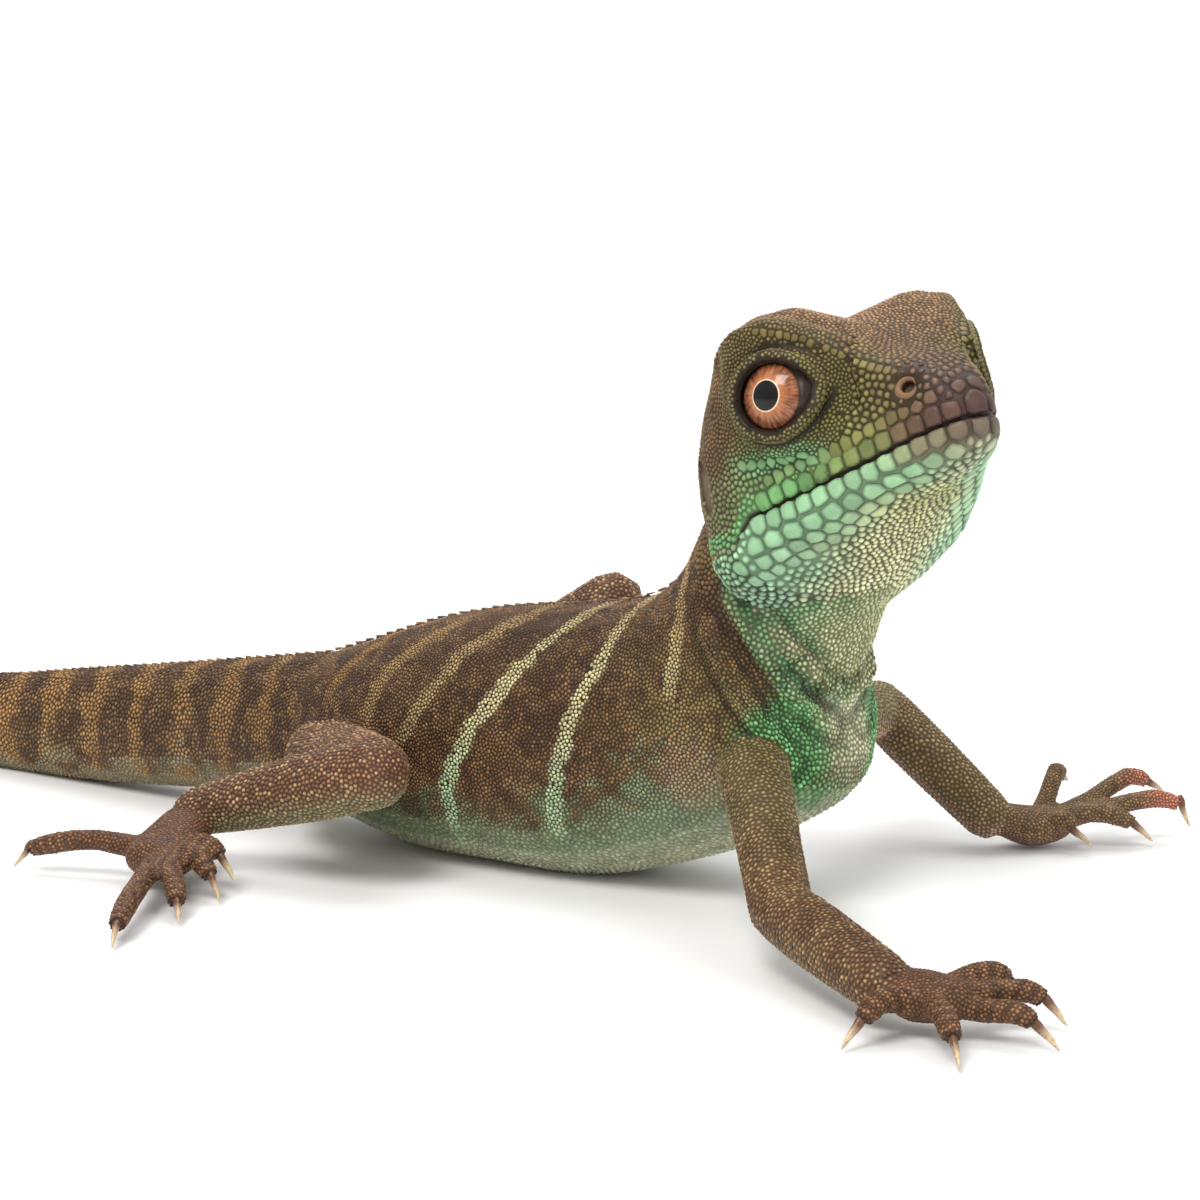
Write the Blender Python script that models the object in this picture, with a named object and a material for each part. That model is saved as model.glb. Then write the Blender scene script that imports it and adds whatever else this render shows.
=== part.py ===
"""A young Chinese water dragon at life size: belly on the floor, head raised and turned to its right.

Lengths are worked out in millimetres and become metres when a mesh is made.
+X is forward, +Y is the animal's left and +Z is up; the floor under the belly is z = 0.
"""

import math

import bmesh
import bpy
from mathutils import Matrix, Vector

MM = 0.001
GAP = 0.3  # left between two solids that touch

SNOUT_TIP = Vector((55.8, -13.9, 50.9))
HEAD_TURN = (-28.6, 15.8, 6.1)  # degrees of turn, lift and lean

EYE_RADIUS = 4.45
EYE_CENTRE = (-16.4, 8.4, 6.4)  # from the snout tip, in the head's own axes, left eye
EYE_AXIS = (0.56, 0.82, 0.06)
LID_WALL = 0.75
LID_OPENING = (3.45, 2.8)  # half width and half height

# The trunk's outline at stations from the vent to the nape:
# back x and z, underside x and z, half width, shift to the left, turn in degrees
TRUNK = (
    (-31.0, 19.6, -31.0, 3.2, 7.6, 0.0, 0.0),
    (-24.0, 21.9, -24.0, 1.2, 9.8, 0.0, 0.0),
    (-15.0, 24.9, -15.0, -0.3, 11.8, 0.0, 0.0),
    (-5.0, 27.1, -5.0, -0.4, 12.8, 0.0, 0.0),
    (5.0, 28.2, 6.0, -0.3, 12.4, 0.0, 0.0),
    (12.0, 29.5, 16.5, 2.4, 11.6, 0.0, 0.0),
    (16.0, 31.6, 26.5, 6.4, 11.2, 0.0, -2.0),
    (18.8, 34.8, 35.4, 12.4, 10.8, -0.3, -5.0),
    (21.0, 38.4, 34.9, 21.6, 9.8, -0.6, -10.0),
    (23.0, 42.0, 36.9, 28.6, 9.3, -0.8, -16.0),
    (25.5, 45.2, 41.2, 33.4, 9.2, -1.0, -22.0),
    (28.0, 48.5, 43.6, 37.3, 7.4, -2.0, -26.0),
)
COLLAR = 8  # the station where the neck leaves the torso
TRUNK_SIDES = 24

# The tail: distance behind the vent, top z, underside z, half width
TAIL = (
    (0.0, 19.6, 3.4, 7.6),
    (14.0, 17.4, 2.2, 6.0),
    (36.0, 14.2, 0.3, 5.0),
    (54.0, 11.6, -0.35, 4.3),
    (80.0, 9.0, -0.35, 3.6),
    (115.0, 6.6, -0.35, 2.75),
    (155.0, 4.7, -0.35, 2.0),
    (200.0, 3.1, -0.35, 1.4),
    (245.0, 1.9, -0.25, 0.9),
    (278.0, 1.1, 0.02, 0.5),
)
TAIL_TURNS = ((0.0, 0.0), (50.0, 0.0), (100.0, 16.0), (165.0, 26.0), (215.0, 8.0), (278.0, -24.0))
TAIL_SPLITS = (0.0, 50.0, 110.0, 190.0, 278.0)
TAIL_NAMES = ("tail_base", "tail_middle", "tail_rear", "tail_tip")
TAIL_SIDES = 16

# The head's sections, in its own axes, from the snout tip back: x, crown z, then y and z of the crown's
# hump, the brow, the cheek, the lips and the jaw, and the throat's z
HEAD = (
    (0.3, 1.9, 0.5, 1.8, 0.9, 1.5, 1.1, 0.9, 1.1, 0.2, 0.9, -0.7, -1.2),
    (-0.9, 3.8, 1.3, 3.7, 2.1, 3.1, 2.5, 1.9, 2.6, 0.0, 2.2, -1.7, -2.5),
    (-3.8, 5.9, 2.2, 5.9, 3.5, 5.1, 4.1, 3.0, 4.2, -0.4, 3.7, -2.5, -3.8),
    (-7.5, 7.6, 3.2, 7.9, 5.6, 7.2, 5.7, 3.8, 5.9, -1.1, 5.0, -3.3, -4.7),
    (-11.5, 10.2, 4.6, 11.5, 9.0, 11.1, 8.0, 5.0, 7.7, -1.8, 6.6, -4.5, -5.9),
    (-15.5, 12.5, 5.9, 14.5, 11.8, 13.0, 10.4, 6.0, 9.6, -2.5, 8.4, -5.7, -7.8),
    (-20.0, 13.2, 6.1, 14.2, 12.4, 12.9, 11.8, 5.5, 11.1, -3.1, 10.2, -7.3, -10.6),
    (-24.5, 12.6, 5.6, 13.0, 11.0, 11.2, 12.6, 4.5, 12.3, -3.5, 11.6, -8.7, -13.0),
    (-29.0, 10.4, 5.0, 10.6, 9.2, 9.2, 12.3, 3.2, 12.5, -3.0, 11.8, -9.4, -14.4),
    (-33.0, 7.0, 3.6, 6.8, 7.0, 5.6, 10.2, 1.6, 10.6, -3.0, 9.4, -8.6, -13.0),
)
HEAD_BACK = Vector((-34.8, 0.0, -2.6))
MOUTH_CORNER = -22.5
MOUTH_DEPTH = 0.6
LIP_GAPE = 0.34  # half the height of the groove between the lips

NOSTRIL = (-4.3, 3.4, 4.1)
NOSTRIL_RADIUS = 0.62
EAR = (-28.6, 12.3, 0.7)
EAR_SIZE = (1.45, 2.5)  # half length and half height
EAR_DEPTH = 0.7

# Each limb: where its parts start and end, and the radii along them
SHOULDER, ELBOW, WRIST = (31.2, 10.8, 14.6), (42.0, 23.5, 5.9), (57.6, 32.6, 3.9)
ARM_ROOT = (26.0, 4.5, 16.5)
LEFT_SHOULDER, LEFT_ELBOW, LEFT_WRIST = (27.0, 10.8, 15.6), (22.4, 29.0, 14.6), (35.2, 30.6, 3.8)
LEFT_ARM_ROOT = (27.0, 4.5, 16.0)
HIP, KNEE, ANKLE = (-25.4, 8.2, 8.8), (-7.2, 21.9, 12.4), (-29.9, 24.4, 5.9)
LEG_ROOT = (-28.0, 3.0, 9.4)
LEFT_KNEE, LEFT_ANKLE = (-8.2, 22.0, 24.5), (-22.0, 28.5, 5.8)
UPPER_ARM_RADII = (3.8, 3.4, 3.0, 2.9)
FOREARM_RADII = (2.95, 2.95, 2.8, 2.6)
THIGH_RADII = (4.6, 4.9, 4.4, 3.6)
SHANK_RADII = (3.65, 3.5, 3.0, 2.4)
LIMB_SIDES = 12

# Each digit from the innermost: heading in degrees, length, height at its middle, at its end, and
# of the claw's point
RIGHT_HAND = (
    (56.0, 6.4, 4.6, 3.9, 2.0),
    (34.0, 8.5, 3.6, 3.1, 0.6),
    (6.0, 8.2, 2.8, 2.4, 0.2),
    (-46.0, 7.2, 3.6, 2.3, 0.2),
    (-108.0, 5.4, 4.0, 2.5, 0.2),
)
LEFT_HAND = (
    (0.0, 3.2, 3.2, 2.8, 0.8),
    (32.0, 9.2, 3.8, 2.8, 0.6),
    (44.0, 15.0, 4.0, 4.2, 1.4),
    (60.0, 13.4, 4.5, 6.0, 4.2),
    (95.0, 7.0, 4.8, 6.4, 5.0),
)
RIGHT_FOOT = (
    (0.0, 6.0, 4.8, 3.9, 1.4),
    (-19.0, 8.2, 4.2, 2.8, 0.2),
    (-42.0, 14.2, 3.6, 2.0, 0.2),
    (-57.0, 22.0, 3.2, 1.9, 0.2),
    (-162.0, 13.8, 4.0, 2.5, 0.2),
)
LEFT_FOOT = (
    (0.0, 4.4, 4.4, 2.9, 0.2),
    (24.0, 7.4, 4.0, 2.6, 0.2),
    (44.0, 13.0, 3.4, 2.2, 0.2),
    (60.0, 19.0, 3.2, 2.0, 0.2),
    (150.0, 13.0, 2.6, 2.2, 0.2),
)
RIGHT_PALM, LEFT_PALM = Vector((61.2, -32.0, 3.3)), Vector((38.6, 34.4, 2.4))
RIGHT_SOLE, LEFT_SOLE = Vector((-27.6, -31.4, 3.2)), Vector((-20.6, 36.0, 3.0))
PALM_HALF, SOLE_HALF = (3.3, 2.3), (4.1, 2.7)  # half width and half thickness
DIGIT_ROOT = 1.6  # where a digit starts, out from the palm's middle
FINGER_RADIUS, TOE_RADIUS = 0.98, 1.05
DIGIT_SIDES = 7
CLAW_LENGTH, CLAW_RADIUS, CLAW_TIP = 2.9, 0.56, 0.13
CLAW_SIDES = 6

# The crest: spacing, length of a spine's foot, thickness, and its height along the back
CREST_STEP, CREST_FOOT, CREST_THICK, CREST_SUNK = 2.6, 2.0, 0.75, 0.8
CREST_NAPE, CREST_BACK, CREST_TAIL = 1.1, 0.75, 0.6
CREST_END = 160.0  # behind the vent

SKIN_BROWN = (0.11, 0.065, 0.038)
SKIN_GREEN = (0.16, 0.30, 0.13)
SKIN_HEAD = (0.20, 0.23, 0.09)
EYE_AMBER = (0.42, 0.15, 0.06)
CLAW_HORN = (0.45, 0.32, 0.20)


def clear_scene():
    for obj in list(bpy.data.objects):
        bpy.data.objects.remove(obj, do_unlink=True)


def make_collection(name):
    made = bpy.data.collections.new(name)
    bpy.context.scene.collection.children.link(made)
    return made


def make_material(name, colour, roughness):
    made = bpy.data.materials.new(name)
    made.use_nodes = True
    shader = made.node_tree.nodes["Principled BSDF"]
    shader.inputs["Base Color"].default_value = (*colour, 1.0)
    shader.inputs["Roughness"].default_value = roughness
    shader.inputs["Metallic"].default_value = 0.0
    return made


def spline(rows, t):
    """The rows' values at t on a smooth curve through all of them, with row i at t = i."""
    last = len(rows) - 1
    i = min(max(int(t), 0), last - 1)
    u = t - i
    rows_near = (rows[max(i - 1, 0)], rows[i], rows[i + 1], rows[min(i + 2, last)])
    return [
        0.5 * (2 * b + (c - a) * u + (2 * a - 5 * b + 4 * c - d) * u**2 + (3 * b - a - 3 * c + d) * u**3)
        for a, b, c, d in zip(*rows_near)
    ]


def spline_by_key(rows, key):
    """The values after the first at the place where the first reaches key; the first only grows."""
    keys = [row[0] for row in rows]
    i = max(k for k in range(len(keys) - 1) if keys[k] <= key or k == 0)
    low, high = 0.0, 1.0
    for _ in range(30):
        middle = (low + high) / 2
        if spline(rows, i + middle)[0] < key:
            low = middle
        else:
            high = middle
    return spline(rows, i + high)[1:]


def oval(centre, side, up, half_width, rise, drop, sides, square=1.0):
    points = []
    for k in range(sides):
        turn = 2 * math.pi * k / sides
        across, along = math.cos(turn), math.sin(turn)
        reach = rise if along > 0 else drop
        out_x = math.copysign(abs(across) ** square, across) * half_width
        out_y = math.copysign(abs(along) ** square, along) * reach
        points.append(centre + side * out_x + up * out_y)
    return points


def loft(name, rings, material, home):
    """A closed solid through rings of points; a ring of one point closes to a tip."""
    made = bmesh.new()
    rows = [[made.verts.new(point * MM) for point in ring] for ring in rings]
    for a, b in zip(rows, rows[1:]):
        count = max(len(a), len(b))
        for k in range(count):
            n = (k + 1) % count
            if len(a) == 1:
                made.faces.new((a[0], b[n], b[k]))
            elif len(b) == 1:
                made.faces.new((a[k], a[n], b[0]))
            else:
                made.faces.new((a[k], a[n], b[n], b[k]))
    for row in (rows[0], rows[-1]):
        if len(row) > 2:
            made.faces.new(row)
    bmesh.ops.recalc_face_normals(made, faces=made.faces)
    return new_object(name, made, material, home)


def new_object(name, made, material, home):
    data = bpy.data.meshes.new(name)
    made.to_mesh(data)
    made.free()
    data.materials.append(material)
    data.shade_smooth()
    obj = bpy.data.objects.new(name, data)
    home.objects.link(obj)
    return obj


def grown(obj, by=GAP):
    """A helper with the object's shape, larger by the gap all round."""
    made = bmesh.new()
    made.from_mesh(obj.data)
    made.normal_update()
    moves = [(vertex, vertex.normal * by * MM * vertex.calc_shell_factor()) for vertex in made.verts]
    for vertex, move in moves:
        vertex.co += move
    helper = new_object("around_" + obj.name, made, obj.data.materials[0], HELPERS)
    helper.hide_render = True
    helper.display_type = "WIRE"
    return helper


def settle(obj):
    """Applies the object's modifiers."""
    graph = bpy.context.evaluated_depsgraph_get()
    data = bpy.data.meshes.new_from_object(obj.evaluated_get(graph))
    obj.modifiers.clear()
    old = obj.data
    obj.data = data
    bpy.data.meshes.remove(old)


def keep_largest(obj):
    """Drops what a cut leaves loose: only the closed surface with the most volume stays."""
    made = bmesh.new()
    made.from_mesh(obj.data)
    unseen = set(made.faces)
    bodies = []
    while unseen:
        queue = [unseen.pop()]
        body = set(queue)
        while queue:
            for edge in queue.pop().edges:
                for face in edge.link_faces:
                    if face in unseen:
                        unseen.discard(face)
                        body.add(face)
                        queue.append(face)
        volume = sum(
            face.calc_center_median().dot(face.normal) * face.calc_area() for face in body
        )
        bodies.append((volume, body))
    largest = max(bodies, key=lambda pair: pair[0])[1]
    loose = [face for face in made.faces if face not in largest]
    bmesh.ops.delete(made, geom=loose, context="FACES")
    made.to_mesh(obj.data)
    made.free()


def cut(obj, *cutters):
    """Takes the cutters' shapes out of the object."""
    for cutter in cutters:
        step = obj.modifiers.new("cut", "BOOLEAN")
        step.operation = "DIFFERENCE"
        step.object = cutter
        settle(obj)
    keep_largest(obj)


def fuse(obj, pieces):
    """Joins closed pieces to the object, which stays one closed body."""
    group = make_collection("fusing_" + obj.name)
    for piece in pieces:
        for home in list(piece.users_collection):
            home.objects.unlink(piece)
        group.objects.link(piece)
    step = obj.modifiers.new("fuse", "BOOLEAN")
    step.operation = "UNION"
    step.operand_type = "COLLECTION"
    step.collection = group
    settle(obj)
    for piece in pieces:
        bpy.data.objects.remove(piece, do_unlink=True)
    bpy.data.collections.remove(group)
    keep_largest(obj)


def make_floor():
    """A slab below z = 0, which cuts soft undersides flat."""
    made = bmesh.new()
    size = Matrix.Diagonal((900 * MM, 600 * MM, 20 * MM, 1.0))
    bmesh.ops.create_cube(made, size=1.0, matrix=Matrix.Translation((0, 0, -10 * MM)) @ size)
    slab = new_object("below_floor", made, SKINS["brown"], HELPERS)
    slab.hide_render = True
    slab.display_type = "WIRE"
    return slab


def trunk_ring(t, shift=0.0, sides=TRUNK_SIDES):
    """The trunk's outline at station t, moved along its own normal by shift."""
    top_x, top_z, low_x, low_z, half, sideways, turn = spline(TRUNK, t)
    top, low = Vector((top_x, sideways, top_z)), Vector((low_x, sideways, low_z))
    up = (top - low).normalized()
    side = Matrix.Rotation(math.radians(turn), 3, up) @ Vector((0, 1, 0))
    side = (side - up * side.dot(up)).normalized()
    ahead = side.cross(up)
    centre = low.lerp(top, 0.47) + ahead * shift
    rise, drop = (top - low).length * 0.53, (top - low).length * 0.47
    return oval(centre, side, up, half, rise, drop, sides, 0.92)


def tail_frame(distance):
    """A point of the tail's path on the floor, with its direction backwards."""
    place, steps = Vector((TRUNK[0][0], 0.0, 0.0)), max(1, int(distance / 2.0))
    for k in range(steps):
        turn = math.radians(spline_by_key(TAIL_TURNS, (k + 0.5) * distance / steps)[0])
        place = place + Vector((-math.cos(turn), -math.sin(turn), 0)) * (distance / steps)
    turn = math.radians(spline_by_key(TAIL_TURNS, distance)[0])
    return place, Vector((-math.cos(turn), -math.sin(turn), 0))


def tail_ring(distance, shift=0.0, sides=TAIL_SIDES):
    place, back = tail_frame(distance)
    top, low, half = spline_by_key(TAIL, distance)
    up = Vector((0, 0, 1))
    centre = place + back * shift + up * (low + (top - low) * 0.47)
    return oval(centre, up.cross(-back), up, half, (top - low) * 0.53, (top - low) * 0.47, sides, 0.95)


def crest_spine(foot, ahead, up, height, name):
    """A flat thorn that leans back, its root sunk in the ridge of the back."""
    side = up.cross(ahead).normalized() * CREST_THICK / 2
    root = foot - up * CREST_SUNK
    low = [
        root + ahead * CREST_FOOT * 0.55,
        root - ahead * CREST_FOOT * 0.1 + side,
        root - ahead * CREST_FOOT * 0.65,
        root - ahead * CREST_FOOT * 0.1 - side,
    ]
    tip = foot + up * height - ahead * CREST_FOOT * 0.55
    middle = [point.lerp(tip, 0.45) + up * 0.12 * height for point in low]
    return loft(name, [low, middle, [tip]], SKINS["brown"], HELPERS)


def trunk_crest(start, end):
    """Spines along the ridge between two stations of the trunk."""
    spines, walked, last = [], 0.0, None
    steps = int((end - start) * 40)
    for k in range(steps + 1):
        t = start + (end - start) * k / steps
        top_x, top_z, _, _, _, sideways, _ = spline(TRUNK, t)
        place = Vector((top_x, sideways, top_z))
        if last is not None:
            walked += (place - last).length
            if walked >= CREST_STEP:
                walked -= CREST_STEP
                ahead = (place - last).normalized()
                up = Vector((0, 1, 0)).cross(-ahead).normalized()
                share = t / (len(TRUNK) - 1)
                height = CREST_BACK + (CREST_NAPE - CREST_BACK) * max(0.0, share - 0.4) / 0.6
                spines.append(crest_spine(place - up * 0.1, ahead, up, height, "spine"))
        last = place
    return spines


def tail_crest(start, end):
    spines = []
    distance = start + CREST_STEP / 2
    while distance < min(end, CREST_END) - CREST_STEP / 2:
        place, back = tail_frame(distance)
        top = spline_by_key(TAIL, distance)[0]
        slope = spline_by_key(TAIL, distance + 1.0)[0] - top
        ahead = (-back - Vector((0, 0, slope))).normalized()
        up = ahead.cross(Vector((0, 0, 1)).cross(ahead)).normalized()
        height = CREST_TAIL * (1.0 - 0.5 * distance / CREST_END)
        foot = place + Vector((0, 0, top - 0.1))
        spines.append(crest_spine(foot, ahead, up, height, "spine"))
        distance += CREST_STEP
    return spines


def build_torso():
    stations = [k / 3 for k in range(1, COLLAR * 3)]
    rings = [trunk_ring(0.0, GAP / 2)] + [trunk_ring(t) for t in stations]
    rings.append(trunk_ring(COLLAR, -GAP / 2))
    return loft("torso", rings, SKINS["brown"], ANIMAL)


def build_neck():
    end = len(TRUNK) - 1
    stations = [COLLAR + k / 3 for k in range(1, (end - COLLAR) * 3 + 1)]
    rings = [trunk_ring(COLLAR, GAP / 2)] + [trunk_ring(t) for t in stations]
    return loft("neck", rings, SKINS["green"], ANIMAL)


def build_tail(index):
    start, end = TAIL_SPLITS[index], TAIL_SPLITS[index + 1]
    count = max(4, round((end - start) / 9.0))
    middle = [tail_ring(start + (end - start) * k / count) for k in range(1, count)]
    rings = [tail_ring(start, GAP / 2)] + middle
    if index < len(TAIL_NAMES) - 1:
        rings.append(tail_ring(end, -GAP / 2))
    else:
        place, back = tail_frame(end)
        rings += [tail_ring(end), [place + back * 1.2 + Vector((0, 0, 0.5))]]
    return loft(TAIL_NAMES[index], rings, SKINS["brown"], ANIMAL)


def head_matrix():
    """From the head's own axes, with the snout tip at the origin, to the world, in millimetres."""
    turn, lift, lean = (math.radians(angle) for angle in HEAD_TURN)
    spin = Matrix.Rotation(turn, 4, "Z") @ Matrix.Rotation(-lift, 4, "Y") @ Matrix.Rotation(lean, 4, "X")
    return Matrix.Translation(SNOUT_TIP) @ spin


def head_ring(row):
    """One section of the head, with the groove of the mouth between the lips."""
    x, crown, hump_y, hump_z, brow_y, brow_z, cheek_y, cheek_z, lip_y, lip_z, jaw_y, jaw_z, throat = row
    open_share = min(1.0, max(0.0, (x - MOUTH_CORNER + 1.5) / 3.0))
    gape = LIP_GAPE if x > -2.0 else LIP_GAPE * (0.55 + 0.45 * open_share)
    upper = [(-hump_y, hump_z), (0.0, crown), (hump_y, hump_z), (brow_y, brow_z), (cheek_y, cheek_z),
             (lip_y, lip_z + gape)]
    lower = [(lip_y, lip_z - gape), (jaw_y, jaw_z), (0.0, throat), (-jaw_y, jaw_z)]
    half = [spline(upper, 1 + k / 2) for k in range(9)]
    depth = min(MOUTH_DEPTH, lip_y * 0.35) * open_share
    half.append([lip_y - depth, lip_z])
    half += [spline(lower, k / 3) for k in range(7)]
    other = [[-y, z] for y, z in reversed(half[1:-1])]
    return [Vector((x, y, z)) for y, z in half + other]


def build_head():
    count = (len(HEAD) - 1) * 2
    rings = [head_ring(spline(HEAD, k / 2)) for k in range(count + 1)]
    to_world = head_matrix()
    rings = [[to_world @ point for point in ring] for ring in rings]
    rings.append([to_world @ HEAD_BACK])
    return loft("head", rings, SKINS["head"], ANIMAL)


def ball(name, centre, radius, scale=(1, 1, 1), spin=None, segments=16, rings=10):
    made = bmesh.new()
    size = Matrix.Diagonal((*scale, 1.0))
    matrix = Matrix.Translation(centre * MM) @ (spin or Matrix.Identity(4)) @ size
    bmesh.ops.create_uvsphere(made, u_segments=segments, v_segments=rings, radius=radius * MM, matrix=matrix)
    bmesh.ops.recalc_face_normals(made, faces=made.faces)
    return new_object(name, made, SKINS["head"], HELPERS)


def peg(name, centre, axis, radii, length, spin_up, segments=16):
    """An oval rod along an axis, centred on a point, to cut a hole with."""
    side = axis.cross(spin_up).normalized()
    up = side.cross(axis).normalized()
    rings = [
        oval(centre + axis * reach, side, up, radii[0], radii[1], radii[1], segments)
        for reach in (-length / 2, length / 2)
    ]
    rod = loft(name, rings, SKINS["head"], HELPERS)
    rod.hide_render = True
    rod.display_type = "WIRE"
    return rod


def carve_head(head):
    """Adds the lids and the nostrils' rims, and cuts the eye sockets, nostrils and ears."""
    to_world = head_matrix()
    turn = to_world.to_3x3()
    pieces, cutters = [], []
    for sign in (-1, 1):
        eye = to_world @ Vector((EYE_CENTRE[0], sign * EYE_CENTRE[1], EYE_CENTRE[2]))
        look = (turn @ Vector((EYE_AXIS[0], sign * EYE_AXIS[1], EYE_AXIS[2]))).normalized()
        up = turn @ Vector((0, 0, 1))
        pieces.append(ball("lids", eye, EYE_RADIUS + GAP + LID_WALL, segments=24, rings=16))
        cutters.append(ball("socket", eye, EYE_RADIUS + GAP, segments=20, rings=14))
        cutters.append(peg("lid_opening", eye + look * 5.0, look, LID_OPENING, 6.0, up, 20))
        nostril = to_world @ Vector((NOSTRIL[0], sign * NOSTRIL[1], NOSTRIL[2]))
        out = (turn @ Vector((0.45, sign * 0.75, 0.48))).normalized()
        pieces.append(ball("nostril_rim", nostril - out * 0.35, NOSTRIL_RADIUS * 1.75, segments=10, rings=7))
        cutters.append(peg("nostril", nostril + out, out, (NOSTRIL_RADIUS, NOSTRIL_RADIUS), 3.2, up, 10))
        ear = to_world @ Vector((EAR[0], sign * EAR[1], EAR[2]))
        outward = (turn @ Vector((-0.12, sign, 0.05))).normalized()
        place = ear + outward * (1.5 - EAR_DEPTH)
        cutters.append(peg("ear", place, outward, EAR_SIZE, 3.0, up, 16))
    fuse(head, pieces)
    for cutter in cutters:
        cutter.hide_render = True
        cutter.display_type = "WIRE"
    cut(head, *cutters)


def build_eye(sign, name):
    to_world = head_matrix()
    centre = to_world @ Vector((EYE_CENTRE[0], sign * EYE_CENTRE[1], EYE_CENTRE[2]))
    eye = ball(name, centre, EYE_RADIUS, segments=20, rings=14)
    HELPERS.objects.unlink(eye)
    ANIMAL.objects.link(eye)
    eye.data.materials[0] = SKINS["eye"]
    return eye


def tube(name, points, radii, sides, material, home, flat=1.0, round_ends=(True, True), steps=3):
    """A round limb along a smooth path, with rounded or flat ends."""
    points = [tuple(point) for point in points]
    rows = [(*point, radius) for point, radius in zip(points, radii)]
    count = (len(rows) - 1) * steps
    samples = [spline(rows, k / steps) for k in range(count + 1)]
    places = [Vector(sample[:3]) for sample in samples]
    rings = []
    side = None
    for k, place in enumerate(places):
        ahead = (places[min(k + 1, count)] - places[max(k - 1, 0)]).normalized()
        if side is None:
            side = Vector((0, 0, 1)).cross(ahead).normalized()
        side = (side - ahead * side.dot(ahead)).normalized()
        up = ahead.cross(side)
        radius = samples[k][3]
        if k == 0 and round_ends[0]:
            rings += [[place - ahead * radius * 0.95]]
            rings += [oval(place - ahead * radius * 0.6, side, up, radius * 0.75, radius * 0.75 * flat,
                           radius * 0.75 * flat, sides)]
        rings.append(oval(place, side, up, radius, radius * flat, radius * flat, sides))
        if k == count and round_ends[1]:
            rings += [oval(place + ahead * radius * 0.6, side, up, radius * 0.75, radius * 0.75 * flat,
                           radius * 0.75 * flat, sides)]
            rings += [[place + ahead * radius * 0.95]]
    return loft(name, rings, material, home)


def right(point):
    return Vector((point[0], -point[1], point[2]))


def along(start, end, share, swell=(0, 0, 0)):
    return Vector(start).lerp(Vector(end), share) + Vector(swell)


def build_arm(side_name, shoulder, elbow, wrist, root):
    upper = tube("upper_arm_" + side_name, (root, shoulder, along(shoulder, elbow, 0.5), elbow),
                 UPPER_ARM_RADII, LIMB_SIDES, SKINS["brown"], ANIMAL)
    fore = tube("forearm_" + side_name,
                (elbow, along(elbow, wrist, 0.35), along(elbow, wrist, 0.7), wrist),
                FOREARM_RADII, LIMB_SIDES, SKINS["brown"], ANIMAL)
    return upper, fore


def build_leg(side_name, hip, knee, ankle, root):
    thigh = tube("thigh_" + side_name, (root, hip, along(hip, knee, 0.5), knee),
                 THIGH_RADII, LIMB_SIDES, SKINS["brown"], ANIMAL)
    shank = tube("shank_" + side_name,
                 (knee, along(knee, ankle, 0.35), along(knee, ankle, 0.7), ankle),
                 SHANK_RADII, LIMB_SIDES, SKINS["brown"], ANIMAL)
    return thigh, shank


def build_foot(name, joint, middle, digits, half, digit_radius):
    """A palm or sole with its digits fused to it, and a claw before each digit."""
    joint = Vector(joint)
    heading = (middle - joint)
    heading.z = 0
    heading.normalize()
    start = joint.lerp(middle, 0.25)
    palm = tube(name, (start, middle - heading * 0.4, middle + heading * 2.2),
                (half[1] * 1.02, half[0] * 0.92, half[0] * 0.8), LIMB_SIDES, SKINS["brown"], ANIMAL,
                flat=half[1] / half[0])
    toes, claws = [], []
    for index, (angle, length, middle_z, end_z, point_z) in enumerate(digits):
        turn = math.radians(angle)
        out = Vector((math.cos(turn), math.sin(turn), 0))
        base = middle + out * DIGIT_ROOT
        reach = DIGIT_ROOT + length
        knuckle = middle + out * (DIGIT_ROOT + length * 0.45)
        knuckle.z = middle_z
        bend = middle + out * (DIGIT_ROOT + length * 0.82)
        bend.z = end_z + 0.75
        end = middle + out * reach
        end.z = end_z
        radii = (digit_radius * 1.25, digit_radius, digit_radius * 1.02, digit_radius * 0.8)
        toes.append(tube("digit", (base, knuckle, bend, end), radii, DIGIT_SIDES, SKINS["brown"], HELPERS,
                         round_ends=(True, False), steps=2))
        claws.append(build_claw(f"claw_{name}_{index + 1}", bend, end, out, point_z))
    fuse(palm, toes)
    return palm, claws


def build_claw(name, bend, end, out, point_z):
    """A curved horn that starts a gap past the digit's end and comes down to its point."""
    ahead = (end - bend).normalized()
    start = end + ahead * GAP
    drop = start.z - point_z - CLAW_TIP
    run = math.sqrt(max(CLAW_LENGTH**2 - drop**2, 1.0))
    point = start + out * run * 0.92
    point.z = point_z + CLAW_TIP
    collar = start + ahead * CLAW_LENGTH * 0.15
    middle = start.lerp(point, 0.55)
    middle.z += 0.12 * CLAW_LENGTH
    return tube(name, (start, collar, middle, point),
                (CLAW_RADIUS, CLAW_RADIUS * 0.97, CLAW_RADIUS * 0.66, CLAW_TIP), CLAW_SIDES,
                SKINS["claw"], ANIMAL, round_ends=(False, False), steps=1)


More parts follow.
